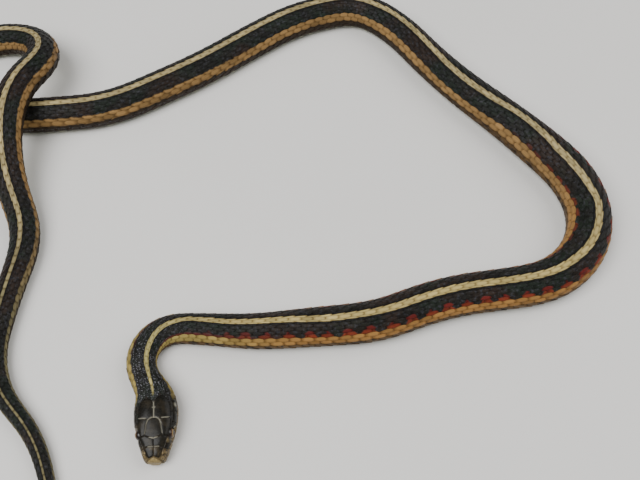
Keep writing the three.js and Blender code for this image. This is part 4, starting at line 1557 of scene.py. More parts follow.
@dataclass
class HeadForm:
    """Lays outlines drawn in flat views onto the head, and says how deep its skin lies."""

    form: BodyForm

    def laid(self, view: View, u: Array, v: Array, side: int) -> tuple[Array, Array]:
        """Lays points of a flat view onto the head.

        Args:
            view: How the outline was drawn.
            u: Side distance, or distance back for a side view.
            v: Distance back, height for a side view, or arc round the snout.
            side: 1 for the animal's left, -1 for its right.

        Returns:
            Distance from the snout and signed angle of each point.
        """
        if view is View.WRAP:
            return self.wrapped(u * side, v)
        if view is View.SIDE:
            return u, -side * self.angle_of_height(u, v)
        half = self.form.sizes(v)[0]
        power = 2 / (read_smooth(UPPER_SQUARENESS, v) if view is View.TOP else LOWER_SQUARENESS)
        angle = np.arcsin(np.clip(np.abs(u) / half, 0, 1) ** (1 / power))
        angle = angle if view is View.TOP else math.pi - angle
        return v, -side * np.sign(u + TINY) * angle

    def angle_of_height(self, s: Array, height: Array) -> Array:
        """Finds where a section's side has a given height.

        Args:
            s: Distance from the snout.
            height: Height above the section's own floor.

        Returns:
            The angle in radians from the middle of the back.
        """
        _, top, low = self.form.sizes(s)
        middle = low + (top - low) * WIDEST_SHARE
        upper = height > middle
        reach = np.where(upper, top - middle, middle - low + (top - low) * FLAT_SHARE)
        power = 2 / np.where(upper, read_smooth(UPPER_SQUARENESS, s), LOWER_SQUARENESS)
        cosine = np.clip(np.abs(height - middle) / reach, 0, 1) ** (1 / power)
        return np.where(upper, np.arccos(cosine), math.pi - np.arccos(cosine))

    def wrapped(self, x: Array, arc: Array) -> tuple[Array, Array]:
        """Finds where a ray from inside the snout leaves the head.

        Args:
            x: Side distance, positive to the animal's left.
            arc: Arc up from straight ahead, at the wrap's radius.

        Returns:
            Distance from the snout and signed angle of each point.
        """
        tilt = arc / WRAP_RADIUS
        near, far = np.zeros_like(x), np.full_like(x, WRAP_REACH)
        for _ in range(WRAP_TRIES):
            reach = (near + far) / 2
            s, z = WRAP_CENTRE[0] - reach * np.cos(tilt), WRAP_CENTRE[1] + reach * np.sin(tilt)
            half, top, low = self.form.sizes(s)
            middle = low + (top - low) * WIDEST_SHARE
            power = 2 / np.where(z > middle, read_smooth(UPPER_SQUARENESS, s), LOWER_SQUARENESS)
            span = np.where(z > middle, top - middle, middle - low + (top - low) * FLAT_SHARE)
            flat = np.abs(x) / np.maximum(half, WRAP_LEAST)
            tall = np.abs(z - middle) / np.maximum(span, WRAP_LEAST)
            inside = (s > SNOUT_TIP) & (flat ** (2 / power) + tall ** (2 / power) < 1)
            near, far = np.where(inside, reach, near), np.where(inside, far, reach)
        s = np.maximum(WRAP_CENTRE[0] - near * np.cos(tilt), SNOUT_TIP + WRAP_LEAST)
        z = WRAP_CENTRE[1] + near * np.sin(tilt)
        return s, -np.sign(x + TINY) * self.angle_of_height(s, z)

    @staticmethod
    def pale_seam_and_glint(x: Array, back: Array) -> Array:
        """Finds how pale the crown is by its distance from the pale seams, which are partly pale skin and
        partly painted glints on the plate edges.

        Args:
            x: Side distance, seen from above.
            back: Distance back.

        Returns:
            Paleness from 0 to 1.
        """
        strength = np.zeros(np.broadcast(x, back).shape)
        for (ax, ay), (bx, by), pale in PALE_SEAMS_AND_GLINTS:
            dx, dy = np.abs(x) - ax, back - ay
            wide, deep = bx - ax, by - ay
            run = np.clip((dx * wide + dy * deep) / (wide**2 + deep**2), 0, 1)
            away = np.hypot(dx - run * wide, dy - run * deep)
            strength = np.maximum(strength, pale * step_between(PALE_SEAM_GLINT_WIDTH, PALE_SEAM_GLINT_CORE, away))
        return strength

    def orbit(self, s: Array, height: Array) -> Array:
        """Returns how far the surface sinks towards the eye."""
        away = np.hypot(s - EYE_BACK, height - EYE_HEIGHT)
        return ORBIT_DEPTH * step_between(ORBIT_REACH, ORBIT_RADIUS, away)

    def skin_depth(self, s: Array, angle: Array) -> Array:
        """Finds the skin's depth, with eye sockets, nostrils and the line of the mouth.

        Args:
            s: Distance from the snout.
            angle: Radians from the middle of the back.

        Returns:
            Depth under the outer surface.
        """
        depth = self.form.coat_depth(s)
        _, height = self.form.section(s, angle)
        away = np.hypot(s - EYE_BACK, height - EYE_HEIGHT)
        rim = step_between(ORBIT_RADIUS + SOCKET_SOFT, ORBIT_RADIUS - SOCKET_SOFT, away)
        socket = self.orbit(s, height) + SOCKET_DEPTH * rim
        nostril = np.hypot(s - NOSTRIL_BACK, height - NOSTRIL_HEIGHT)
        pit = SKIN_PIT_DEPTH * step_between(*NOSTRIL_RIM, nostril)
        mouth = MOUTH_DEPTH * np.exp(-(((height - read(MOUTH_LINE, s)) / MOUTH_WIDTH) ** 2))
        mouth = mouth * step_between(*MOUTH_FADE, s)
        tip_depth = np.minimum(SKIN_DEPTH, (s - SNOUT_TIP) * TIP_SLOPE + TIP_DEPTH)
        depth = np.where(s < HEAD_LENGTH, np.maximum(depth, tip_depth), depth)
        hollows = np.where(np.abs(np.sin(angle)) > SIDEWAYS, socket + pit, 0) + mouth
        return depth + np.where(s < HEAD_LENGTH, hollows, 0)


@dataclass
class Skin:
    """The one skin under the coat, from snout to tail tip."""

    head: HeadForm
    lattice: Lattice
    columns: int = 128
    head_step: float = 0.24
    body_step: float = 1.25
    tip_rings: int = 9
    tail_rings: int = 6
    merge_distance: float = 1e-7

    def build(self, finish: Material) -> bpy.types.Object:
        """Builds the skin from a grid wrapped round the body, with its seam and both ends merged.

        Args:
            finish: The skin's material.

        Returns:
            The skin, which stands for every flesh node.
        """
        fine_end = HEAD_LENGTH + 4
        stations = np.concatenate((
            SNOUT_TIP + np.linspace(0, 1, self.tip_rings)[:-1] ** 2,
            np.arange(SNOUT_TIP + 1, fine_end, self.head_step),
            np.arange(fine_end + self.body_step / 2, BODY_LENGTH - TAIL_TIP, self.body_step),
            BODY_LENGTH - TAIL_TIP * np.linspace(1, 0, self.tail_rings) ** 2,
        ))
        deselect_all()
        bpy.ops.mesh.primitive_grid_add(
            x_subdivisions=self.columns, y_subdivisions=len(stations) - 1, size=2
        )
        piece = bpy.context.object
        piece.name = piece.data.name = "skin"
        column, ring = np.arange(self.columns + 1), np.arange(len(stations))
        s = np.repeat(stations[ring], len(column))
        share = np.tile(column / self.columns * 2 - 1, len(ring))
        angle = self.head.form.angle_at(s, share)
        angle = np.where(np.abs(share) == 1, share * math.pi, angle)
        points = self.head.form.at_depth(s, angle, self.head.skin_depth(s, angle))
        for place in (SNOUT_TIP, BODY_LENGTH):
            at_end = s == place
            points[at_end] = points[at_end].mean(axis=0)
        piece.data.vertices.foreach_set("co", (points * MM).ravel())
        for layer in list(piece.data.uv_layers):
            piece.data.uv_layers.remove(layer)
        row = self.lattice.row(s, share)
        reach = self.head.form.section(s, angle)[0]
        # Pale crown seams, partly pale skin and partly painted glints on the plate edges
        seam = np.where(np.cos(angle) > 0, self.head.pale_seam_and_glint(reach, s), 0)
        to_front = FRONT_ROWS / 2 / self.lattice.half_rows(s)
        edge_row = (self.lattice.half_rows(s) - np.abs(row)) * to_front
        give_data(piece, {"along": s, "row": row * to_front, "edge_row": edge_row, "seam": seam}, {})
        bpy.ops.object.mode_set(mode="EDIT")
        bpy.ops.mesh.select_all(action="SELECT")
        bpy.ops.mesh.remove_doubles(threshold=self.merge_distance)
        bpy.ops.mesh.normals_make_consistent(inside=False)
        bpy.ops.object.mode_set(mode="OBJECT")
        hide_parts(*(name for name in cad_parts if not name.startswith("eye")))
        hand_over(piece, finish)
        return piece


@dataclass
class Coat:
    """Scales over one length of the body. Chances are spreads of small random differences."""

    name: str
    start: float
    end: float
    lattice: Lattice
    keeled: Blank
    smooth: Blank
    scute: Blank
    seed: int
    overlap: float = 1.46
    breadth: float = 1.6
    rise: float = 0.74
    smooth_rows: float = 1.1
    least_share: float = 0.35
    whole_share: float = 0.4
    middle_share: float = 0.6
    least_depth: float = 0.004
    belly_start: float = 20.5
    belly_overlap: float = 1.18
    belly_rise: float = 0.8
    belly_edge: float = 0.985
    pair_edge: float = 0.98
    bend_step: float = 0.4
    bend_least: float = 0.05
    bend_fit: tuple[float, float] = (0.74, 1.2)
    full_rise_spacing: float = 1.3
    slimmest: float = 0.62
    width_chance: float = 0.03
    length_chance: float = 0.02
    rise_chance: float = 0.05
    tone_chance: float = 0.2
    map_margin: tuple[float, float] = (3, 8)
    patch_share: float = 0.82
    top_share: float = 0.9
    under_from: float = 0.95
    under_share: float = 0.04

    def build(self, scales: Material, scutes: Material) -> None:
        """Builds the length's back scales and its belly scales.

        Args:
            scales: Material of the back scales.
            scutes: Material of the belly scales.
        """
        chance = np.random.default_rng(SEED + self.seed)
        stations, rows = self.back_places()
        low = self.lattice.half_rows(self.lattice.place(stations)) - np.abs(rows) < self.smooth_rows
        for kind, blank, chosen in (("scales_", self.keeled, ~low), ("side_scales_", self.smooth, low)):
            self.lay(kind + self.name, blank, stations[chosen], rows[chosen], chance, scales)
        stations, rows = self.belly_places()
        if len(stations):
            self.lay("scutes_" + self.name, self.scute, stations, rows, chance, scutes)

    def back_places(self) -> tuple[Array, Array]:
        """Lists the back scales, each second row half a station back.

        Returns:
            Stations and rows.
        """
        first, last = self.lattice.nearest(self.start), self.lattice.nearest(self.end)
        most = int(max(self.lattice.half_rows(np.array([self.start, self.end])))) + 1
        stations, rows = [], []
        for row in range(-most, most + 1):
            for station in range(first, last):
                place = station + (0.5 if row % 2 else 0.0)
                limit = float(self.lattice.half_rows(self.lattice.place(place)))
                share = min(1.0, limit - (abs(row) - 0.5))
                if share < self.least_share:
                    continue
                stations.append(place)
                rows.append(math.copysign(abs(row) - (1 - share) / 2, row))
        return np.array(stations), np.array(rows)

    def belly_places(self) -> tuple[Array, Array]:
        """Lists the belly scales: single ones up to the vent, and pairs set in zigzag behind it.

        Returns:
            Stations, and rows of 0 for a single scale or 1 and -1 for a pair.
        """
        first = self.lattice.nearest(max(self.start, self.belly_start))
        last = self.lattice.nearest(self.end)
        if self.start < VENT:
            return np.arange(first, last, dtype=float), np.zeros(last - first)
        stations = np.concatenate((np.arange(first, last, dtype=float), np.arange(first, last) + 0.5))
        return stations, np.concatenate((np.ones(last - first), -np.ones(last - first)))

    def spans(
        self, middles: Array, rows: Array, belly: bool, vary: Array
    ) -> tuple[Array, Array]:
        """Finds how far round the body each scale reaches.

        Args:
            middles: Distance of each scale's middle from the snout.
            rows: Row of each scale.
            belly: Whether these are belly scales.
            vary: A small random difference for each scale.

        Returns:
            Middle row and half width of each scale, in rows.
        """
        half_rows = self.lattice.half_rows(middles)
        if not belly:
            room = half_rows - np.abs(rows)
            half = np.minimum(0.5, np.where(room > 0, room, 0.5))
            return rows, half * self.breadth * (1 + self.width_chance * vary)
        full = 1 / self.lattice.form.belly_share(middles)
        half = np.where(rows == 0, full - self.belly_edge, 0.5 * (full - self.pair_edge)) * half_rows
        inner = 0.5 * (full + self.pair_edge) * half_rows
        return np.where(rows == 0, full * half_rows, np.sign(rows) * inner), half

    def fit_to_bends(self, middles: Array, centre: Array) -> Array:
        """Shortens scales on the outside of a bend and lengthens those on its inside.

        Args:
            middles: Distance of each scale's middle from the snout.
            centre: Middle row of each scale.

        Returns:
            A factor for each scale's length.
        """
        form = self.lattice.form
        angle = form.angle_at(middles, self.unrolled(middles, centre))
        strides = form.outer(middles + self.bend_step, angle) - form.outer(middles - self.bend_step, angle)
        stretch = np.linalg.norm(strides, axis=-1)
        return np.clip(2 * self.bend_step / np.maximum(stretch, self.bend_least), *self.bend_fit)

    def lay(
        self, name: str, blank: Blank, stations: Array, rows: Array, chance: np.random.Generator,
        finish: Material,
    ) -> None:
        """Lays copies of a blank at the given stations and rows and joins them in one mesh.

        Args:
            name: The piece's name.
            blank: The modelled scale.
            stations: Station of each scale's root.
            rows: Row of each scale. For belly scales, 0 is a whole one and 1 or -1 a half.
            chance: Source of small differences.
            finish: The piece's material.
        """
        form, lattice = self.lattice.form, self.lattice
        belly = blank is self.scute
        roots = lattice.place(stations)
        pitch = lattice.place(stations + 1) - roots
        pitch = np.where(pitch > 0, pitch, float(read(SCALE_PITCHES, BODY_LENGTH)))
        middles = roots + pitch * self.middle_share
        vary = chance.normal(0, 1, (3, len(stations)))
        centre, half = self.spans(middles, rows, belly, vary[0])
        if belly:
            length, most_rise = pitch * self.belly_overlap, self.belly_rise
        else:
            length, most_rise = pitch * self.overlap * self.fit_to_bends(middles, centre), self.rise
        length = length * (1 + self.length_chance * vary[1])
        across, along, height = blank.points.T
        s = np.clip(roots[:, None] + along[None] * length[:, None], *COAT_ENDS)
        share = self.unrolled(s, centre[:, None] + across[None] * half[:, None])
        angle = form.angle_at(s, share)
        slim = np.clip(lattice.spacing(middles) / self.full_rise_spacing, self.slimmest, 1)
        rise = form.coat_depth(s) * most_rise * (slim * (1 + self.rise_chance * vary[2]))[:, None]
        depth = form.coat_depth(s) - height[None] * rise
        points = form.at_depth(s, angle, np.maximum(depth, self.least_depth))
        tone = np.clip(0.5 + self.tone_chance * vary[2], 0, 1)[:, None]
        folded = np.where(np.abs(share) > 1, np.sign(share) * (2 - np.abs(share)), share)
        seen_row = lattice.row(s, folded)
        edge_row = lattice.half_rows(s) - np.abs(seen_row)
        if not belly:
            own_edge = (lattice.half_rows(middles) - np.abs(centre))[:, None]
            edge_row = edge_row + (own_edge - edge_row) * self.whole_share
        to_front = FRONT_ROWS / 2 / lattice.half_rows(s)
        floats = {
            "along": s + (middles[:, None] - s) * self.whole_share, "row": seen_row * to_front,
            "edge_row": edge_row * to_front, "tone": np.repeat(tone, len(across), axis=1),
        }
        scale_map = np.stack((across * 0.5 + 0.5, along), axis=-1)[blank.corners]
        maps = {
            "ScaleMap": np.tile(scale_map, (len(stations), 1)),
            "OFBake": self.bake_map(blank, roots, centre, pitch, half),
        }
        piece = joined_copies(name, blank, points, floats, maps)
        tidy_normals(piece)
        hand_over(piece, finish)

    def unrolled(self, s: Array, row: Array) -> Array:
        """Returns a row's share of the half girth, carried past the belly's middle line to the other side."""
        share = self.lattice.share(s, row)
        return np.where(share > 1, share - 2, np.where(share < -1, share + 2, share))

    def bake_map(
        self, blank: Blank, roots: Array, centre: Array, pitch: Array, half: Array
    ) -> Array:
        """Gives each scale a patch of its own at its root's place on an unwrap of the skin.

        Args:
            blank: The modelled scale. The belly scales' unwrap is cut along the back.
            roots: Distance of each root from the snout.
            centre: Middle row of each scale.
            pitch: Distance to the next station.
            half: Half width in rows.

        Returns:
            UV places for each face corner.
        """
        belly = blank is self.scute
        lead, spare = self.map_margin
        run = self.end - self.start + spare
        reach = half if belly else np.minimum(half, 0.5)
        ends = [self.lattice.share(roots, centre + turn * reach) for turn in (-1, 1)]
        middle_v = (ends[0] + ends[1]) / 2 + (0 if belly else 1)
        centre_u = (roots - self.start + lead) / run
        across, along, _ = blank.points[blank.corners].T
        patch_u, patch_v = self.patch_share * pitch / run, self.patch_share * (ends[1] - ends[0]) / 2
        shift_u = np.where(blank.under, self.under_from + self.under_share * along, along * self.top_share)
        shift_v = np.where(blank.under, self.under_share, 1.0) * across
        u = centre_u[:, None] + shift_u[None] * patch_u[:, None]
        v = (middle_v[:, None] + shift_v[None] * patch_v[:, None]) / 2
        return np.stack((u, v % 1.0 if belly else v), axis=-1).reshape(-1, 2)


@dataclass(frozen=True)
class Plate:
    """One head plate: its outline in a flat view, which sides carry it and how tan it is."""

    outline: tuple
    view: View
    side: int
    tan: float
    centre: tuple | None = None


@dataclass
class HeadPlates:
    """The large plates of crown, cheeks, lips and chin."""

    head: HeadForm
    blank: Blank
    seam: float = 0.03
    rim: float = 0.16
    crest_depth: float = 0.02
    sink: float = 0.2
    dome: float = 0.05
    under_depth: float = 0.25
    least_height: float = 0.2
    brow_share: float = 0.35
    pit_core: float = 0.45
    passes: int = 8
    outline_points: int = 224
    tones: tuple[float, float] = (0.2, 0.8)
    spot_strength: float = 0.55
    spot_edge: tuple[float, float] = (1.3, 0.6)
    top_map_share: float = 0.95
    under_map_share: float = 0.02

    def plates(self) -> dict[str, list[Plate]]:
        """Lists the plates of each group, both sides of the head.

        Returns:
            Plates by the name of their piece.
        """
        groups: dict[str, list[Plate]] = {
            "crown_plates": [], "cheek_plates": [], "lip_plates": [], "chin_plates": [],
        }
        crown, cheek, lips, chin = groups.values()
        for side in (1, -1):
            for name, outline in CROWN_PAIRS.items():
                crown.append(Plate(outline, View.TOP, side, PLATE_TANS[name]))
            for name, outline in CHEEK.items():
                centre = (NOSTRIL_BACK, NOSTRIL_HEIGHT) if name == "nasal" else None
                cheek.append(Plate(outline, View.SIDE, side, PLATE_TANS[name], centre))
            for lip, tan in ((UPPER_LIP, PLATE_TANS["upper_lip"]), (LOWER_LIP, PLATE_TANS["lower_lip"])):
                for (front, front_edge), (back, back_edge) in zip(lip, lip[1:]):
                    mouth = read(MOUTH_LINE, (front, back)).tolist()
                    outline = ((front, mouth[0]), (front, front_edge), (back, back_edge), (back, mouth[1]))
                    lips.append(Plate(outline, View.SIDE, side, tan))
            for outline in CHIN_PAIRS.values():
                chin.append(Plate(outline, View.BOTTOM, side, PLATE_TANS["chin"]))
        crown.append(Plate(mirrored(FRONTAL), View.TOP, 1, PLATE_TANS["frontal"]))
        lips.append(Plate(mirrored(ROSTRAL), View.WRAP, 1, PLATE_TANS["rostral"]))
        lips.append(Plate(mirrored(MENTAL), View.WRAP, 1, PLATE_TANS["mental"]))
        return groups

    def build(self, dark: Material, pale: Material) -> None:
        """Builds each group of plates as one mesh.

        Args:
            dark: Material of crown, cheeks and lips.
            pale: Material of the chin.
        """
        chance = np.random.default_rng(SEED)
        for name, plates in self.plates().items():
            laid = [self.lay(plate) for plate in plates]
            tone = [np.full(len(self.blank.points), chance.uniform(*self.tones)) for _ in plates]
            stacked = {label: np.array([part[label] for part in laid]) for label in laid[0]}
            points = stacked.pop("points")
            maps = {label: np.concatenate(stacked.pop(label)) for label in ("PlateMap", "OFBake")}
            piece = joined_copies(name, self.blank, points, stacked | {"tone": np.array(tone)}, maps)
            tidy_normals(piece)
            chin = name == "chin_plates"
            hand_over(piece, pale if chin else dark)

    def lay(self, plate: Plate) -> dict[str, Array]:
        """Shapes the blank to a plate's outline and lays it on the head.

        Args:
            plate: The plate.

        Returns:
            Its points, named values and UV places.
        """
        edge, inward = self.rounded(np.array(plate.outline, float), plate.view)
        centre = np.array(plate.centre) if plate.centre else edge.mean(axis=0)
        x, y, level = self.blank.points.T
        radius = np.clip(np.hypot(x, y), 0, 1)
        spoke = np.rint(np.arctan2(y, x) / (2 * math.pi) * len(edge)).astype(int) % len(edge)
        flat = centre + radius[:, None] * (edge[spoke] - centre)
        height = np.abs(((centre - edge) * inward).sum(axis=1))[spoke]
        from_rim = (1 - radius) * np.maximum(height, self.least_height)
        s, angle = self.head.laid(plate.view, flat[:, 0], flat[:, 1], plate.side)
        up = np.sqrt(1 - (1 - np.clip(from_rim / self.rim, 0, 1)) ** 2)
        depth = self.crest_depth + (1 - up) * self.sink + self.dome * radius**2
        depth = np.where(level < 0.5, self.crest_depth + self.sink + self.under_depth, depth)
        _, height_up = self.head.form.section(s, angle)
        hollow_share = {View.SIDE: 1.0, View.TOP: self.brow_share}.get(plate.view, 0.0)
        depth = depth + self.head.orbit(s, height_up) * hollow_share
        if plate.centre:
            away = np.linalg.norm(flat - centre, axis=1)
            core = NOSTRIL_RADIUS * self.pit_core
            depth = depth + PLATE_PIT_DEPTH * step_between(NOSTRIL_RADIUS, core, away)
        points = self.head.form.at_depth(s, angle, depth)
        low, high = flat.min(axis=0), flat.max(axis=0)
        local = (flat - low) / (high - low)
        plate_map = local if plate.view is not View.SIDE else local[:, ::-1]
        share = angle / math.pi
        uv = np.stack((s / HEAD_LENGTH, share * 0.5 + 0.5), axis=-1)
        middle = uv[level > 0.5].mean(axis=0)
        spread = np.where(level < 0.5, 1.0, self.top_map_share)[:, None]
        on_top, underneath = (middle + (uv - middle) * size for size in (spread, self.under_map_share))
        corners, under = self.blank.corners, self.blank.under[:, None]
        crown = plate.view is View.TOP
        # Pale crown seams, partly painted glints on the plate edges
        seam = self.head.pale_seam_and_glint(flat[:, 0], flat[:, 1]) if crown else np.zeros(len(s))
        return {
            "points": points, "rim": from_rim, "tan": np.full(len(s), plate.tan),
            "spot": self.spots(plate, flat), "seam": seam, "PlateMap": plate_map[corners],
            "OFBake": np.where(under, underneath[corners], on_top[corners]),
        }

    def spots(self, plate: Plate, flat: Array) -> Array:
        """Finds the small pale marks beside the crown's middle line and round the eyes.

        Args:
            plate: The plate.
            flat: Places in the plate's flat view.

        Returns:
            Strength of the marks at each place.
        """
        strength = np.zeros(len(flat))
        outer, core = self.spot_edge
        for u, v, size in PALE_SPOTS.get(plate.view, ()):
            away = np.hypot(flat[:, 0] - u, flat[:, 1] - v)
            mark = self.spot_strength * step_between(size * outer, size * core, away)
            strength = np.maximum(strength, mark)
        return strength

    def rounded(self, outline: Array, view: View) -> tuple[Array, Array]:
        """Rounds an outline's corners, clears it of the eye and draws it in by half a seam.

        Args:
            outline: The outline's corners.
            view: The view it is drawn in.

        Returns:
            Evenly spaced points of the new outline and the unit vectors that point inwards.
        """
        dense = resampled(outline, self.outline_points)
        for _ in range(self.passes):
            dense = (np.roll(dense, 1, axis=0) + 2 * dense + np.roll(dense, -1, axis=0)) / 4
        if view is View.SIDE:
            off = dense - (EYE_BACK, EYE_HEIGHT)
            away = np.linalg.norm(off, axis=1, keepdims=True)
            dense = np.where(away < ORBIT_RADIUS, (EYE_BACK, EYE_HEIGHT) + off / away * ORBIT_RADIUS, dense)
        edge = resampled(dense, len(self.spokes()))
        along = np.roll(edge, -1, axis=0) - np.roll(edge, 1, axis=0)
        inward = np.stack((-along[:, 1], along[:, 0]), axis=-1)
        inward /= np.maximum(np.linalg.norm(inward, axis=1, keepdims=True), TINY)
        area = np.sum(edge[:, 0] * np.roll(edge[:, 1], -1) - edge[:, 1] * np.roll(edge[:, 0], -1))
        inward *= np.sign(area)
        return edge + inward * self.seam, inward

    def spokes(self) -> Array:
        """Returns the blank's underside points, one for each spoke."""
        return np.flatnonzero(self.blank.points[:, 2] < 0.5)


def mirrored(half: tuple) -> tuple:
    """Completes an outline drawn on one side of the middle line."""
    other = tuple((-x, y) for x, y in reversed(half) if x > 0)
    return tuple(half) + other


def resampled(outline: Array, count: int) -> Array:
    """Spaces points evenly round a closed outline.

    Args:
        outline: The outline's corners.
        count: How many points are wanted.

    Returns:
        The points.
    """
    closed = np.vstack((outline, outline[:1]))
    runs = np.concatenate(([0], np.cumsum(np.linalg.norm(np.diff(closed, axis=0), axis=1))))
    places = np.linspace(0, runs[-1], count, endpoint=False)
    return np.stack([np.interp(places, runs, closed[:, k]) for k in range(outline.shape[1])], axis=-1)


@dataclass
class Eye:
    """One eye under its clear spectacle."""

    form: BodyForm
    side: int
    segments: int = 48
    ring_count: int = 28

    def build(self, finish: Material) -> bpy.types.Object:
        """Builds the eyeball from a sphere whose pole faces out, and stands it for the solid eye.

        Args:
            finish: The eye's material.

        Returns:
            The eye.
        """
        deselect_all()
        bpy.ops.mesh.primitive_uv_sphere_add(segments=self.segments, ring_count=self.ring_count, radius=1)
        piece = bpy.context.object
        piece.name = piece.data.name = "eyeball_left" if self.side > 0 else "eyeball_right"
        for layer in list(piece.data.uv_layers):
            piece.data.uv_layers.remove(layer)
        count = len(piece.data.vertices)
        unit = np.empty(count * 3)
        piece.data.vertices.foreach_get("co", unit)
        unit = unit.reshape(-1, 3)
        facing, upward, forward = unit[:, 2], unit[:, 1], unit[:, 0]
        s = np.full(count, EYE_BACK) - forward * EYE_RADIUS
        reach = -self.side * (EYE_OUT + facing * EYE_RADIUS)
        points = self.form.beside_axis(s, reach, EYE_HEIGHT + upward * EYE_RADIUS)
        piece.data.vertices.foreach_set("co", (points * MM).ravel())
        corners = np.empty(len(piece.data.loops), int)
        piece.data.loops.foreach_get("vertex_index", corners)
        spread = np.arccos(np.clip(facing, -1, 1)) / math.pi
        flat = np.stack((forward, upward), axis=-1)
        flat /= np.maximum(np.linalg.norm(flat, axis=1, keepdims=True), TINY)
        give_data(piece, {}, {"EyeMap": (0.5 + flat * spread[:, None])[corners]})
        tidy_normals(piece)
        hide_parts("eye_left" if self.side > 0 else "eye_right")
        hand_over(piece, finish)
        return piece


@dataclass
class HeadScales:
    """Small scales of nape, temples and throat, wherever no plate lies."""

    plates: HeadPlates
    coat: Coat
    front: float = 3.5
    nape_start: float = 11
    most_rows: int = 14
    side_row: float = 9.6
    throat_shift: float = 0.4
    clear_rows: float = 0.35
    throat_edge: float = 0.985
    middle_share: float = 0.7
    snout_plates_end: float = 2.5
    seed: int = SEED + 100

    def build(self, back: Material, throat: Material) -> None:
        """Builds the head's small scales in two meshes, nape and throat.

        Args:
            back: Material of the nape's scales.
            throat: Material of the throat's scales.
        """
        lattice = self.coat.lattice
        first, last = lattice.nearest(self.front), lattice.nearest(self.coat.start)
        places = [
            (station + (0.5 if row % 2 else 0), row)
            for row in range(-self.most_rows, self.most_rows + 1) for station in range(first, last)
        ]
        stations, rows = np.array(places, float).T
        middles = lattice.place(stations + self.middle_share)
        low = np.abs(rows) > self.side_row
        rows = rows + np.where(low, np.sign(rows) * self.throat_shift, 0)
        shares = lattice.share(middles, rows)
        free = self.uncovered(middles, shares)
        clear_above = self.uncovered(middles, lattice.share(middles, rows - np.sign(rows) * self.clear_rows))
        upper = free & ~low & (middles > self.nape_start)
        under = free & low & clear_above & (np.abs(shares) < self.throat_edge)
        chance = np.random.default_rng(self.seed)
        self.coat.lay("scales_nape", self.coat.smooth, stations[upper], rows[upper], chance, back)
        self.coat.lay("scales_throat", self.coat.smooth, stations[under], rows[under], chance, throat)

    def uncovered(self, s: Array, share: Array) -> Array:
        """Tells which places no plate, eye or mouth covers.

        Args:
            s: Distance from the snout.
            share: Signed share of the half girth.

        Returns:
            A flag for each place.
        """
        form = self.plates.head.form
        angle = form.angle_at(s, share)
        reach, height = form.section(s, angle)
        free = np.ones(len(s), bool)
        for plate in sum(self.plates.plates().values(), []):
            outline = np.array(plate.outline, float)
            if plate.view is View.SIDE:
                here = inside_outline(outline, s, height) & (np.sign(-reach) == plate.side)
            elif plate.view is View.WRAP:
                here = s < self.snout_plates_end
            else:
                facing = np.cos(angle) > 0 if plate.view is View.TOP else np.cos(angle) < 0
                here = inside_outline(outline, -reach * plate.side, s) & facing
            free &= ~here
        return free & (np.hypot(s - EYE_BACK, height - EYE_HEIGHT) > ORBIT_RADIUS)


def inside_outline(outline: Array, x: Array, y: Array) -> Array:
    """Tells which points lie inside a closed outline, by counting the edges to one side of each.

    Args:
        outline: The outline's corners.
        x: First place of each point.
        y: Second place of each point.

    Returns:
        A flag for each point.
    """
    inside = np.zeros(len(x), bool)
    for (ax, ay), (bx, by) in zip(outline, np.roll(outline, -1, axis=0)):
        if ay == by:
            continue
        crosses = (ay > y) != (by > y)
        inside ^= crosses & (x < ax + (y - ay) / (by - ay) * (bx - ax))
    return inside


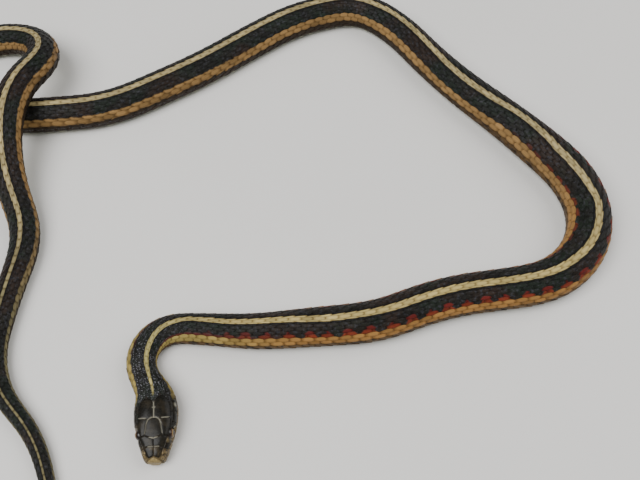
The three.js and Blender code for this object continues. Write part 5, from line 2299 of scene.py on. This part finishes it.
@dataclass(frozen=True)
class Studio:
    """The pale floor, soft lights and camera."""

    look_at: tuple[float, float, float] = (20.83, 2.19, 0)
    distance: float = 222
    elevation: float = 58
    lens: float = 45
    clip_start: float = 0.01
    lights: tuple = (
        ("key_light", (-0.35, -0.25, 0.75), 0.6, 9.5), ("fill_light", (0.55, 0.15, 0.6), 0.7, 4.0),
    )
    sky_colour: tuple = (0.9, 0.89, 0.87, 1)
    sky_strength: float = 0.42
    floor_size: float = 6
    floor_colours: tuple = ((0.62, 0.61, 0.59, 1), (0.68, 0.67, 0.65, 1))
    floor_grains: tuple[float, float] = (14, 30)
    floor_roughness: tuple[float, float] = (0.1, 0.7)

    def build(self) -> None:
        """Builds the floor, the lights and the camera."""
        self.camera()
        self.floor()
        for light in self.lights:
            self.light(*light)
        world = bpy.context.scene.world or bpy.data.worlds.new("studio_world")
        bpy.context.scene.world = world
        world.use_nodes = True
        sky = world.node_tree.nodes["Background"]
        sky.inputs["Color"].default_value = self.sky_colour
        sky.inputs["Strength"].default_value = self.sky_strength

    def camera(self) -> None:
        """Builds the camera where the picture was taken from."""
        data = bpy.data.cameras.new("camera")
        data.lens = self.lens
        data.clip_start = self.clip_start
        camera = bpy.data.objects.new("camera", data)
        tilt = math.radians(self.elevation)
        x, y, z = self.look_at
        place = (x, y - self.distance * math.cos(tilt), z + self.distance * math.sin(tilt))
        camera.location = [value * MM for value in place]
        camera.rotation_euler = (math.pi / 2 - tilt, 0, 0)
        bpy.context.scene.collection.objects.link(camera)
        bpy.context.scene.camera = camera

    def light(self, name: str, place: tuple, size: float, power: float) -> None:
        """Builds one soft light that faces the model.

        Args:
            name: The light's name.
            place: Its place in metres.
            size: The side of its square in metres.
            power: Its power in watts.
        """
        data = bpy.data.lights.new(name, "AREA")
        data.size = size
        data.energy = power
        lamp = bpy.data.objects.new(name, data)
        lamp.location = place
        x, y, z = place
        lamp.rotation_euler = (math.atan2(math.hypot(x, y), z), 0, math.atan2(y, x) + math.pi / 2)
        bpy.context.scene.collection.objects.link(lamp)

    def floor(self) -> None:
        """Builds the plain pale floor, faintly mottled."""
        deselect_all()
        bpy.ops.mesh.primitive_grid_add(x_subdivisions=4, y_subdivisions=4, size=self.floor_size)
        floor = bpy.context.object
        floor.name = floor.data.name = "floor"
        material, sheet, shader = new_material("pale_floor")
        tint_grain, worn_grain = self.floor_grains
        tint = sheet.mix(sheet.noise(tint_grain, 3), *self.floor_colours)
        sheet.feed(shader.inputs["Base Color"], tint)
        worn = sheet.scaled(sheet.noise(worn_grain, 3), *self.floor_roughness)
        sheet.feed(shader.inputs["Roughness"], worn)
        floor.data.materials.append(material)


def main() -> None:
    """Builds the studio and then the animal from skin to eyes."""
    logging.basicConfig(level=logging.INFO, format="%(message)s")
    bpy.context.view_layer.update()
    Studio().build()
    form = BodyForm()
    lattice = Lattice(form)
    head = HeadForm(form)
    groups = Groups(Markings().group(), micro_relief_group())
    Skin(head, lattice).build(SkinFinish().build(groups))
    blanks = [shape.model() for shape in (KEELED_SCALE, SMOOTH_SCALE, BELLY_SCALE)]
    plates = HeadPlates(head, PlateShape().model())
    chin = ChinFinish().build(groups)
    plates.build(HeadPlateFinish().build(groups), chin)
    back, belly = BackScaleFinish().build(groups), BellyScaleFinish().build(groups)
    coats = [Coat(*stretch, lattice, *blanks, number) for number, stretch in enumerate(COAT_LENGTHS)]
    for coat in coats:
        coat.build(back, belly)
    HeadScales(plates, coats[0]).build(back, chin)
    eye_finish = EyeFinish().build()
    for side in (1, -1):
        Eye(form, side).build(eye_finish)


if __name__ == "__main__":
    main()
